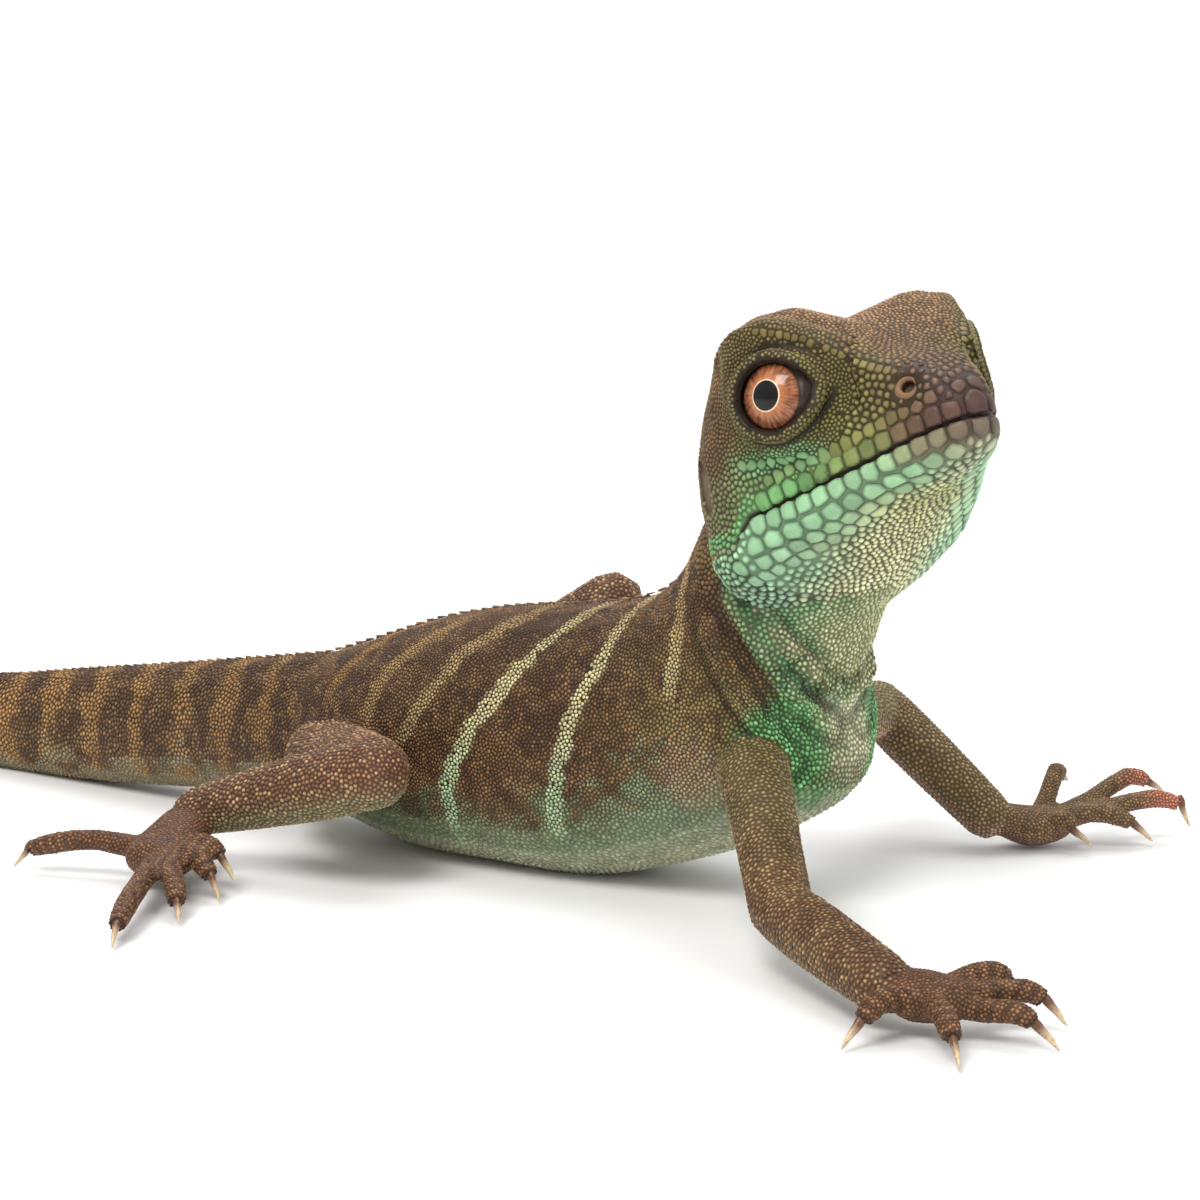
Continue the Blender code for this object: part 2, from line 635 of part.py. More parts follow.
def build_animal():
    floor = make_floor()
    torso, neck, head = build_torso(), build_neck(), build_head()
    tails = [build_tail(index) for index in range(len(TAIL_NAMES))]
    around_torso, around_neck, around_head = grown(torso), grown(neck), grown(head)
    around_tail = grown(tails[0])
    cut(neck, around_head)
    carve_head(head)
    for sign, name in ((-1, "eye_right"), (1, "eye_left")):
        build_eye(sign, name)
    limbs = (
        (build_arm("right", right(SHOULDER), right(ELBOW), right(WRIST), right(ARM_ROOT)), "hand_right",
         RIGHT_PALM, RIGHT_HAND),
        (build_arm("left", LEFT_SHOULDER, LEFT_ELBOW, LEFT_WRIST, LEFT_ARM_ROOT), "hand_left",
         LEFT_PALM, LEFT_HAND),
        (build_leg("right", right(HIP), right(KNEE), right(ANKLE), right(LEG_ROOT)), "foot_right",
         RIGHT_SOLE, RIGHT_FOOT),
        (build_leg("left", HIP, LEFT_KNEE, LEFT_ANKLE, LEG_ROOT), "foot_left", LEFT_SOLE, LEFT_FOOT),
    )
    joints = (right(WRIST), LEFT_WRIST, right(ANKLE), LEFT_ANKLE)
    for ((upper, lower), name, middle, digits), joint in zip(limbs, joints):
        hand = name.startswith("hand")
        half, radius = (PALM_HALF, FINGER_RADIUS) if hand else (SOLE_HALF, TOE_RADIUS)
        foot, _ = build_foot(name, joint, middle, digits, half, radius)
        around_upper, around_lower = grown(upper), grown(lower)
        cut(foot, around_lower, floor)
        cut(lower, around_upper, around_torso)
        cut(upper, around_torso, around_neck if hand else around_tail)
    fuse(torso, trunk_crest(0.0, COLLAR - 0.05))
    fuse(neck, trunk_crest(COLLAR + 0.05, len(TRUNK) - 2.2))
    for index, tail in enumerate(tails):
        spines = tail_crest(TAIL_SPLITS[index], TAIL_SPLITS[index + 1])
        if spines:
            fuse(tail, spines)
        cut(tail, floor)
    cut(torso, floor)
    for helper in list(HELPERS.objects):
        helper.hide_render = True


clear_scene()
ANIMAL = make_collection("water_dragon")
HELPERS = make_collection("helpers")
SKINS = {
    "brown": make_material("brown_skin", SKIN_BROWN, 0.6),
    "green": make_material("green_skin", SKIN_GREEN, 0.6),
    "head": make_material("head_skin", SKIN_HEAD, 0.6),
    "eye": make_material("eye", EYE_AMBER, 0.1),
    "claw": make_material("claw_horn", CLAW_HORN, 0.35),
}
build_animal()
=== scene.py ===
"""A young Chinese water dragon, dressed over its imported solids: one skin, its scales, crest, eyes and claws.

Lengths are worked out in millimetres and become metres when a mesh is made.
+X is forward, +Y is the animal's left and +Z is up; the floor is z = 0.
"""

import math

import bmesh
import bpy
import numpy as np
from mathutils import Matrix, Vector
from mathutils.bvhtree import BVHTree
from mathutils.kdtree import KDTree


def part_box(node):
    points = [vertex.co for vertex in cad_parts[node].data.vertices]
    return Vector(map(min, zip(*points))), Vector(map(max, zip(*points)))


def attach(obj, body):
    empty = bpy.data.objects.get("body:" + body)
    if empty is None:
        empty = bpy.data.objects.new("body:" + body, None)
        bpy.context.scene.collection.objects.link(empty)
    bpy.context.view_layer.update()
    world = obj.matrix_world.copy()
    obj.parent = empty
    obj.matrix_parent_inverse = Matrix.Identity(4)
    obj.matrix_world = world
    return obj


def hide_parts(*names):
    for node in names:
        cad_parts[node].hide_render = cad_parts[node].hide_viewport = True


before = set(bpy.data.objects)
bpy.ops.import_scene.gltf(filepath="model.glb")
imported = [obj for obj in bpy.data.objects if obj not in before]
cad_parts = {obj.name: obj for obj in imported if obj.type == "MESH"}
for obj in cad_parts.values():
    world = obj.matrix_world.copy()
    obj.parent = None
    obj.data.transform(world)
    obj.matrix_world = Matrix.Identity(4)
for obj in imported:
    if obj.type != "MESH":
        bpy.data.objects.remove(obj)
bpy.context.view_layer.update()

MM = 0.001
CHANCE = np.random.default_rng(11)

# The head's own axes start at the snout tip: +X forward, +Y to its left, +Z up
SNOUT_TIP = np.array((55.8, -13.9, 50.9))
HEAD_TURN = (-28.6, 15.8, 6.1)  # degrees of turn, lift and lean
EYE_RADIUS = 4.45
EYE_CENTRE = (-16.4, 8.4, 6.4)
LID_AXIS = (0.56, 0.82, 0.06)  # the way the lids' opening faces
# The lids' opening, in millimetres round the eyeball: half its width and height in the solids,
# then in the skin, where it reaches further ahead on the right side than on the left
LID_OPENING = (3.48, 2.71)
LID_FRONT, LID_BACK, LID_HEIGHT = {-1: 4.0, 1: 2.9}, 3.5, 3.1
LIDS_DRAWN = 7.2  # how far round the eyeball the skin moves with the opening
LID_RIDGE = 0.4  # from the lids' edge to the first ridge beside it
LID_FOLD = 1.8  # from one ridge of the lids to the next
# How far from an eye's middle its lids' shape, colours and small scales reach
LIDS_SHAPED, LIDS_PAINTED, LIDS_BEADED = 8.5, 8.0, 7.6
GAZE = (0.50, 0.86, 0.08)
NOSTRIL = (-4.3, 3.4, 4.1)
NOSTRIL_OUT = (0.58, 0.72, 0.37)
NOSTRIL_PITS = ((1.2, 0.55), (0.42, 1.45))  # the hole, and the seat of the ring about it: depth and radius
EAR = (-28.6, 12.3, 0.7)
EAR_SIZE = (1.6, 2.7)  # half length and half height
HEAD_SIDE = 8  # an ear lies at least so far from the head's middle
LIP_LINE = ((-25.0, -5.8), (-23.8, -4.4), (-22.5, -3.4), (-20.0, -3.1), (-15.5, -2.5), (-11.5, -1.8),
            (-7.5, -1.1), (-3.8, -0.4), (-0.9, 0.0), (0.3, 0.2))
MOUTH_CORNER = -24.6
GROOVE_DEPTH, GROOVE_WIDTH = 0.4, 0.17

SKIN_VOXEL = 0.35
SWELL = 0.22  # closes the thin gaps between the solids before they are made one skin


def paint(red, green, blue):
    """A colour as a paint chart gives it, from 0 to 255, turned into the light it returns."""
    parts = np.array((red, green, blue)) / 255
    return np.where(parts <= 0.04045, parts / 12.92, ((parts + 0.055) / 1.055) ** 2.4)


def ramp(values, low, high):
    part = np.clip((values - low) / (high - low), 0, 1)
    return part * part * (3 - 2 * part)


def blend(first, second, mask):
    mask = np.asarray(mask)[..., None]
    return first * (1 - mask) + second * mask


def noise(points, size, seed=0):
    """Smooth noise from 0 to 1, with features about that many millimetres across."""
    grid = points / size
    low = np.floor(grid).astype(np.int64)
    part = grid - low
    part = part * part * (3 - 2 * part)
    total = np.zeros(len(points))
    for corner in range(8):
        step = np.array((corner & 1, corner >> 1 & 1, corner >> 2 & 1))
        cell = low + step
        mixed = (cell[:, 0] * 73856093) ^ (cell[:, 1] * 19349663) ^ (cell[:, 2] * 83492791) ^ (seed * 7919)
        mixed = ((mixed ^ (mixed >> 13)) * 1274126177) & 0x7FFFFFFF
        chance = ((mixed ^ (mixed >> 15)) & 0xFFFF) / 65535
        total += np.prod(np.where(step, part, 1 - part), axis=1) * chance
    return total


def head_axes():
    turn, lift, lean = (math.radians(angle) for angle in HEAD_TURN)
    spin = Matrix.Rotation(turn, 3, "Z") @ Matrix.Rotation(-lift, 3, "Y") @ Matrix.Rotation(lean, 3, "X")
    return np.array(spin)


HEAD_AXES = head_axes()


def to_head(points):
    return (points - SNOUT_TIP) @ HEAD_AXES


def from_head(points):
    return np.asarray(points) @ HEAD_AXES.T + SNOUT_TIP


def unit(vectors):
    vectors = np.asarray(vectors, float)
    return vectors / np.maximum(np.linalg.norm(vectors, axis=-1, keepdims=True), 1e-9)


def read_off(values, table):
    """The second column of a table, read off at values of its first."""
    return np.interp(values, *zip(*table))


def mirrored(place, side):
    """A place given on the left side, or the same place on the right one for a side of -1."""
    return np.array(place) * (1, side, 1)


def folded(points, side=1):
    """Points brought over to one side of the body or of the head."""
    return np.stack((points[:, 0], side * np.abs(points[:, 1]), points[:, 2]), axis=1)


def steps_along(path):
    """How far along a path each of its points lies."""
    return np.concatenate(((0,), np.cumsum(np.linalg.norm(np.diff(path, axis=0), axis=1))))


def places_on(path, steps, stops):
    return np.stack([np.interp(stops, steps, path[:, k]) for k in range(3)], axis=-1)


def soften(rows, rounds):
    for _ in range(rounds):
        rows[1:-1] = (rows[:-2] + 2 * rows[1:-1] + rows[2:]) / 4


def select_only(*objects):
    bpy.ops.object.select_all(action="DESELECT")
    for obj in objects:
        obj.select_set(True)
    bpy.context.view_layer.objects.active = objects[0]


def apply_step(obj, kind, **settings):
    select_only(obj)
    step = obj.modifiers.new(kind.lower(), kind)
    for name, value in settings.items():
        setattr(step, name, value)
    bpy.ops.object.modifier_apply(modifier=step.name)


def read_vectors(items, field):
    values = np.empty(len(items) * 3)
    items.foreach_get(field, values)
    return values.reshape(-1, 3)


def mesh_points(obj):
    return read_vectors(obj.data.vertices, "co") / MM


def mesh_normals(obj):
    return read_vectors(obj.data.vertex_normals, "vector")


def set_points(obj, points):
    obj.data.vertices.foreach_set("co", (points * MM).ravel())
    obj.data.update()


def add_object(name, data):
    made = bpy.data.objects.new(name, data)
    bpy.context.scene.collection.objects.link(made)
    return made


def add_values(data, name, kind, field, values):
    """A value for each point of a mesh, for the materials to read."""
    layer = data.attributes.new(name, kind, "POINT")
    layer.data.foreach_set(field, np.asarray(values, float).ravel())


def searchable(obj):
    return BVHTree.FromPolygons(mesh_points(obj).tolist(), triangles_of(obj).tolist())


def triangles_of(obj):
    corners = np.empty(len(obj.data.loops), np.int32)
    obj.data.loops.foreach_get("vertex_index", corners)
    return corners.reshape(-1, 3)


# The parts of the body, known by the solid that lies nearest

FLESH = sorted(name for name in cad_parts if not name.startswith(("claw", "eye")))


def solids_surface():
    """The flesh nodes as one searchable surface, with each face's part."""
    points, faces, parts = [], [], []
    for number, name in enumerate(FLESH):
        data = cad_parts[name].data
        start = len(points)
        points += [vertex.co / MM for vertex in data.vertices]
        faces += [[start + index for index in face.vertices] for face in data.polygons]
        parts += [number] * len(data.polygons)
    return BVHTree.FromPolygons(points, faces), np.array(parts)


SOLIDS, SOLID_PARTS = solids_surface()


def parts_at(points):
    return SOLID_PARTS[[SOLIDS.find_nearest(point)[2] for point in points]]


def part_mask(parts, *words):
    wanted = [number for number, name in enumerate(FLESH) if name.startswith(words)]
    return np.isin(parts, wanted)


def part_centre(name):
    low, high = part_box(name)
    return np.array((low + high) / 2) / MM


def lie_of_parts():
    """The way the scales point on each part: back along the body, out along the limbs."""
    lies = np.tile((-1.0, 0.0, 0.0), (len(FLESH), 1))
    lies[FLESH.index("head")] = -HEAD_AXES[:, 0]
    chains = (("upper_arm", "forearm", "hand"), ("thigh", "shank", "foot"))
    for side in ("right", "left"):
        for chain in chains:
            centres = [part_centre(f"{name}_{side}") for name in chain]
            for k, name in enumerate(chain):
                start, end = max(k - 1, 0), max(k, 1)
                lies[FLESH.index(f"{name}_{side}")] = unit(centres[end] - centres[start])
    return lies


LIES = lie_of_parts()


# The skin

def eye_frame(side):
    """An eye's centre in the head's axes, the way its lids face, and the ways ahead and up across them."""
    centre = mirrored(EYE_CENTRE, side)
    axis = unit(mirrored(LID_AXIS, side))
    ahead = unit(np.cross(axis, (0, 0, 1))) * side
    return centre, axis, ahead, np.cross(ahead, axis) * side


def lid_share(flat, side):
    """1 on the lids' edge, less inside it: round behind, drawn to a corner in front."""
    ahead = flat[:, 0] > 0
    power = np.where(ahead, 1.65, 2.0)
    half = np.where(ahead, LID_FRONT[side], LID_BACK)
    return ((np.abs(flat[:, 0]) / half) ** power + (np.abs(flat[:, 1]) / LID_HEIGHT) ** power) ** (1 / power)


def lid_flat(local, side):
    """Points about an eye laid flat: millimetres ahead and up round the eyeball from the lids' middle."""
    centre, axis, ahead, up = eye_frame(side)
    offset = local - centre
    distance = np.linalg.norm(offset, axis=1)
    way = offset / np.maximum(distance, 1e-6)[:, None]
    angle = np.arccos(np.clip(way @ axis, -1, 1))
    flat = np.stack((way @ ahead, way @ up), axis=1)
    flat = unit(flat) * (angle * EYE_RADIUS)[:, None]
    return flat, distance, way


def from_flat(flat, side):
    """The ways out from an eye's middle for places laid flat."""
    _, axis, ahead, up = eye_frame(side)
    angle = np.linalg.norm(flat, axis=1, keepdims=True) / EYE_RADIUS
    across = unit(flat) * np.sin(angle)
    return across[:, :1] * ahead + across[:, 1:] * up + np.cos(angle) * axis


def opening_reach(local, side):
    """How far outside the lids' edge a point of the head lies, in millimetres round the eyeball."""
    flat, distance, way = lid_flat(local, side)
    return (lid_share(flat, side) - 1) * LID_HEIGHT, distance, way


def draw_lids(local, side):
    """Moves the solids' round opening to the lids' edge, and the skin about it in step."""
    flat, distance, _ = lid_flat(local, side)
    chosen = (distance < LIDS_SHAPED) & (np.linalg.norm(flat, axis=1) < LIDS_DRAWN)
    flat = flat[chosen]
    solid_share = np.linalg.norm(flat / np.array(LID_OPENING), axis=1)
    pull = (solid_share / lid_share(flat, side) - 1) * (1 - ramp(solid_share, 1.0, 2.0))
    moved = local.copy()
    way = from_flat(flat * (1 + pull)[:, None], side)
    moved[chosen] = eye_frame(side)[0] + way * distance[chosen, None]
    return moved


def mouth_distance(local):
    """Height above the mouth line, and a mask of the points beside it."""
    above = local[:, 2] - read_off(local[:, 0], LIP_LINE)
    beside = (local[:, 0] > MOUTH_CORNER) & (np.abs(local[:, 1]) > np.clip(-local[:, 0] * 0.4, 0, 6.0))
    return above, beside


NECK_FOLDS = (
    ((27.3, -10.4, 32.0), (29.3, -9.9, 29.4), (31.4, -8.8, 26.0), (33.0, -6.8, 22.4), (34.6, -2.5, 18.5)),
    ((29.8, -8.8, 31.0), (32.4, -7.6, 27.0), (34.6, -4.6, 23.4), (35.8, 1.0, 20.6)),
    ((25.0, -10.4, 29.0), (27.6, -10.6, 24.6), (30.4, -9.8, 20.4), (33.2, -7.6, 15.8)),
)
FOLD_RISE, FOLD_WIDTH = 0.95, 0.75
RIDGE_STOPS = (-245.0, 24.0, 0.5)  # the places along x at which the ridge's height is read
RIDGE_SLAB = 0.45  # how far before and behind such a place points count
TOOTH_REACH = 6  # places to each side in which the ridge's lowest is sought
CREST_FRONT = 23.5  # the ridge's teeth begin behind this x
EYE_BED = 0.12  # how far the skin behind a lid's edge stays off the eyeball


def distance_to_line(points, line):
    """Each point's distance to a line of straight lengths, and how far along it that is, from 0 to 1."""
    line = np.array(line)
    best, place = np.full(len(points), 1e9), np.zeros(len(points))
    for k, (a, b) in enumerate(zip(line, line[1:])):
        span = b - a
        share = np.clip((points - a) @ span / (span @ span), 0, 1)
        gap = np.linalg.norm(points - (a + share[:, None] * span), axis=1)
        nearer = gap < best
        best[nearer] = gap[nearer]
        place[nearer] = (k + share[nearer]) / (len(line) - 1)
    return best, place


def lid_wave(reach):
    """The lids' ridges and creases: 1 on a ridge, -1 in a crease."""
    return np.cos((reach - LID_RIDGE) * 2 * math.pi / LID_FOLD)


def about(values, reach):
    """Each value together with those up to so many places to each side."""
    return np.lib.stride_tricks.sliding_window_view(np.pad(values, reach, "edge"), 2 * reach + 1)


def lower_teeth(points, parts):
    """Takes the solids' coarse teeth off the ridge, down to the line between them; fine spines go there."""
    trunk = part_mask(parts, "torso", "neck", "tail")
    stops = np.arange(*RIDGE_STOPS)
    slabs = [points[trunk & (np.abs(points[:, 0] - stop) < RIDGE_SLAB), 2] for stop in stops]
    tops = np.array([slab.max(initial=0.0) for slab in slabs])
    level = about(about(tops, TOOTH_REACH).min(axis=1), TOOTH_REACH).max(axis=1)
    level = np.convolve(np.pad(level, 3, "edge"), np.ones(7) / 7, "valid")
    limit = np.interp(points[:, 0], stops, level) + np.where(points[:, 0] < CREST_FRONT, 0, 99)
    lowered = points.copy()
    lowered[:, 2] = np.where(trunk, np.minimum(points[:, 2], limit), points[:, 2])
    return lowered


def shape_skin(points, normals, parts, seats):
    """Moves the skin's points into lids, the mouth's groove, the nostrils' pits and the neck's folds."""
    moves = np.zeros(len(points))
    local = to_head(points)
    head = part_mask(parts, "head")
    above, beside = mouth_distance(local)
    groove = np.exp(-(above / GROOVE_WIDTH) ** 2) * (head & beside)
    moves -= GROOVE_DEPTH * groove * ramp(local[:, 0], -25.0, -22.5)
    moved = lower_teeth(points, parts)
    for side in (-1, 1):
        near = head & (local[:, 1] * side > 0)
        moved[near] = from_head(draw_lids(local[near], side))
    local = to_head(moved)
    for side in (-1, 1):
        reach, distance, way = opening_reach(local, side)
        near = head & (distance < LIDS_SHAPED) & (local[:, 1] * side > 0)
        outer = near & (distance > EYE_RADIUS + 0.35) & (reach > -0.3)
        moves[outer] += 0.34 * (lid_wave(reach) * np.exp(-(reach / 3.4) ** 2))[outer]
        inner = near & (distance < EYE_RADIUS + EYE_BED)
        moved[inner] = from_head(eye_frame(side)[0] + way[inner] * (EYE_RADIUS + EYE_BED))
        moves[inner] = 0
    for seat, _ in seats:
        gap = np.linalg.norm(points - seat, axis=1)
        for depth, radius in NOSTRIL_PITS:
            moves -= depth * np.exp(-(gap / radius) ** 4)
    soft = part_mask(parts, "neck", "torso")
    for line in NECK_FOLDS:
        for mirror in (1, -1):
            gap, place = distance_to_line(points, mirrored(line, mirror))
            ends = np.sin(np.clip(place, 0.03, 0.97) * math.pi) ** 0.5
            crest = np.exp(-(gap / FOLD_WIDTH) ** 2) - 0.7 * np.exp(-((gap - 1.6) / 0.7) ** 2)
            moves += FOLD_RISE * crest * ends * soft
    moved += normals * moves[:, None]
    moved[:, 2] = np.maximum(moved[:, 2], 0)
    return moved


def build_skin():
    copies = []
    for name in FLESH:
        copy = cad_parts[name].copy()
        copy.data = copy.data.copy()
        copy.parent = None
        for key in list(copy.keys()):
            del copy[key]
        bpy.context.scene.collection.objects.link(copy)
        copies.append(copy)
    select_only(*copies)
    bpy.ops.object.join()
    skin = bpy.context.view_layer.objects.active
    skin.name = "skin"
    skin.data.name = "skin"
    skin.data.materials.clear()
    bpy.ops.object.mode_set(mode="EDIT")
    bpy.ops.mesh.select_all(action="SELECT")
    bpy.ops.mesh.remove_doubles(threshold=0.00001)
    bpy.ops.object.mode_set(mode="OBJECT")
    apply_step(skin, "DISPLACE", strength=SWELL * MM, mid_level=0.0, direction="NORMAL")
    apply_step(skin, "REMESH", mode="VOXEL", voxel_size=SKIN_VOXEL * MM)
    apply_step(skin, "SMOOTH", factor=0.5, iterations=4)
    apply_step(skin, "DISPLACE", strength=-0.6 * SWELL * MM, mid_level=0.0, direction="NORMAL")
    thin_body(skin)
    return skin


EYE_FINE, MOUTH_FINE, NOSTRIL_FINE = 8.0, 0.9, 2.0
# The share of its faces that each part keeps; the fine places, named by no word, are divided instead
FACE_SHARES = ((("torso", "tail", "thigh", "shank", "upper", "forearm"), 0.17),
               (("neck", "hand", "foot"), 0.45), (("head",), 0.35), ((), None))


def fine_places(points):
    """The skin about the eyes, the mouth line and the nostrils, which needs the finest faces."""
    local = to_head(points)
    above, beside = mouth_distance(local)
    fine = beside & (np.abs(above) < MOUTH_FINE) & (local[:, 0] < 2)
    for place, reach in ((EYE_CENTRE, EYE_FINE), (NOSTRIL, NOSTRIL_FINE)):
        fine |= np.linalg.norm(folded(local) - place, axis=1) < reach
    return fine


def thin_body(skin):
    """Coarser faces where close scales cover the skin, finer ones in the fine places of the head."""
    for words, ratio in FACE_SHARES:
        select_only(skin)
        bpy.ops.object.mode_set(mode="EDIT")
        made = bmesh.from_edit_mesh(skin.data)
        points = np.array([vertex.co for vertex in made.verts]) / MM
        fine = fine_places(points)
        chosen = part_mask(parts_at(points), *words) & ~fine if words else fine
        bpy.ops.mesh.select_all(action="DESELECT")
        for face in made.faces:
            face.select = all(chosen[vertex.index] for vertex in face.verts)
        bmesh.update_edit_mesh(skin.data)
        if ratio:
            bpy.ops.mesh.decimate(ratio=ratio)
        else:
            bpy.ops.mesh.subdivide(number_cuts=1)
        bpy.ops.mesh.select_all(action="SELECT")
        bpy.ops.mesh.quads_convert_to_tris()
        bpy.ops.object.mode_set(mode="OBJECT")


def unwrap(skin):
    select_only(skin)
    skin.data.uv_layers.new(name="OFBake")
    bpy.ops.object.mode_set(mode="EDIT")
    bpy.ops.mesh.select_all(action="SELECT")
    bpy.ops.uv.smart_project(angle_limit=math.radians(80), island_margin=0.002)
    bpy.ops.object.mode_set(mode="OBJECT")


# Markings: one rule gives the colour of the skin and of every scale

UMBER, BARK, TAN = paint(90, 64, 43), paint(122, 91, 60), paint(164, 128, 80)
OCHRE, CREAM, LEAF = paint(158, 116, 62), paint(222, 216, 184), paint(92, 160, 92)
# The second colour is painted shade, for the crease of the lids
PINK, LID_CREASE_SHADE = paint(196, 156, 136), paint(30, 22, 17)

LABIALS = (paint(112, 84, 64), paint(127, 141, 80), paint(120, 176, 108))  # from the snout back
# Places on the head, in its own axes, with the width of a scale there and its colour
HEAD_PLACES = (
    ((-18.0, 2.0, 13.0), 0.46, (166, 128, 88)),
    ((-13.0, 6.0, 12.5), 0.48, (152, 114, 76)),
    ((-10.0, 2.0, 9.4), 0.5, (134, 100, 68)),
    ((-26.0, 3.0, 11.5), 0.48, (172, 134, 92)),
    ((-4.0, 1.5, 6.0), 0.8, (114, 86, 62)),
    ((-1.0, 1.0, 3.4), 1.0, (110, 82, 68)),
    ((-4.0, 4.2, 1.6), 0.85, (132, 108, 70)),
    ((-8.0, 5.8, 7.0), 0.68, (116, 102, 52)),
    ((-9.0, 6.6, 4.0), 0.68, (128, 124, 60)),
    ((-9.0, 6.6, 0.8), 0.85, (136, 134, 78)),
    ((-12.5, 8.6, 5.0), 0.5, (120, 122, 56)),
    ((-13.0, 8.4, 1.5), 0.68, (130, 142, 72)),
    ((-16.0, 10.0, -0.6), 0.72, (128, 158, 90)),
    ((-18.5, 12.0, 11.0), 0.44, (132, 98, 58)),
    ((-22.0, 12.6, 7.0), 0.46, (118, 92, 50)),
    ((-21.0, 12.0, -1.0), 0.66, (126, 152, 94)),
    ((-26.0, 12.6, 3.5), 0.48, (118, 90, 52)),
    ((-30.0, 11.0, 5.0), 0.46, (120, 92, 58)),
    ((-26.0, 12.6, -3.0), 0.62, (124, 130, 84)),
    ((-30.0, 12.0, -5.0), 0.56, (128, 104, 66)),
    ((-23.0, 11.6, -7.4), 1.0, (158, 204, 162)),
    ((-15.0, 7.4, -6.6), 1.1, (166, 206, 160)),
    ((-8.0, 4.2, -4.2), 1.05, (168, 196, 146)),
    ((-3.0, 2.0, -3.2), 1.0, (182, 182, 148)),
    ((-10.0, 2.0, -5.8), 0.68, (200, 198, 140)),
    ((-16.0, 3.0, -8.6), 0.68, (228, 226, 174)),
    ((-22.0, 3.0, -12.0), 0.7, (228, 228, 180)),
    ((-21.0, 8.0, -10.0), 0.9, (170, 208, 168)),
    ((-28.0, 9.5, -11.5), 0.9, (158, 194, 164)),
    ((-29.0, 4.0, -14.4), 0.75, (204, 210, 160)),
)
HEAD_SPREAD = 2.3  # how far, in millimetres, one place's width and colour reach into the next

# The pale bars of the flank, as seen from the side: x and z, from the back down
FLANK_BARS = (
    (((16.0, 32.0), (13.1, 29.0), (11.8, 23.0), (10.2, 19.9), (8.7, 14.1), (7.4, 6.0)), 1.0),
    (((7.6, 29.0), (5.1, 26.2), (2.1, 22.3), (-2.1, 16.1), (-5.6, 9.6), (-5.6, 4.0)), 1.0),
    (((0.6, 28.0), (-3.0, 25.4), (-6.1, 22.7), (-8.6, 18.7), (-12.0, 13.6)), 0.35),
    (((-8.6, 26.0), (-12.0, 23.7), (-16.5, 20.0), (-17.6, 15.0)), 0.2),
    (((20.0, 35.4), (20.9, 32.0), (21.4, 28.6), (21.2, 22.6)), 0.8),
    (((-20.0, 23.0), (-23.6, 19.6), (-25.0, 16.0)), 0.0),
)
BAR_WIDTH = 0.8
DIGIT_BAND = 1.1
# The edge between the brown nape and the green throat, from the chest up to the ear: height and x
THROAT_EDGE = ((14.0, 36.0), (18.5, 34.6), (32.0, 27.3), (40.0, 24.5), (48.0, 22.0))


def head_field(local):
    """Scale width and colour on the head, mixed from the places that lie near."""
    places, widths, paints = zip(*HEAD_PLACES)
    widths, colours = np.array(widths), np.array([paint(*colour) for colour in paints])
    gaps = np.linalg.norm(folded(local)[:, None, :] - np.array(places)[None], axis=2)
    gaps -= gaps.min(axis=1, keepdims=True) * 0.7
    weights = np.exp(-(gaps / HEAD_SPREAD) ** 2)
    weights /= np.maximum(weights.sum(axis=1, keepdims=True), 1e-99)
    return weights @ widths, weights @ colours


def bar_masks(points):
    """Where the flank's bars lie, and how pale they are: mint white in front, ochre behind."""
    side = points[:, [0, 2]]
    wander = (noise(points, 1.2, 3) - 0.5) * 1.2 + (noise(points, 0.5, 4) - 0.5) * 0.6
    mask, paleness = np.zeros(len(points)), np.zeros(len(points))
    for bar, pale in FLANK_BARS:
        gap, place = distance_to_line(side, bar)
        width = BAR_WIDTH * (0.7 + 0.5 * place)
        fade = ramp(place, -0.05, 0.08) * (1 - ramp(place, 0.93, 1.05) * 0.6) * (0.78 + 0.22 * pale)
        one = (1 - ramp(gap + wander * 0.7, width * 0.7, width * 1.25)) * fade
        paleness = np.where(one > mask, pale, paleness)
        mask = np.maximum(mask, one)
    return mask, paleness


def before_throat_edge(points, soft):
    """1 before the throat's edge and 0 behind it, blending over so many millimetres to each side."""
    return ramp(points[:, 0] - read_off(points[:, 2], THROAT_EDGE), -soft, soft)


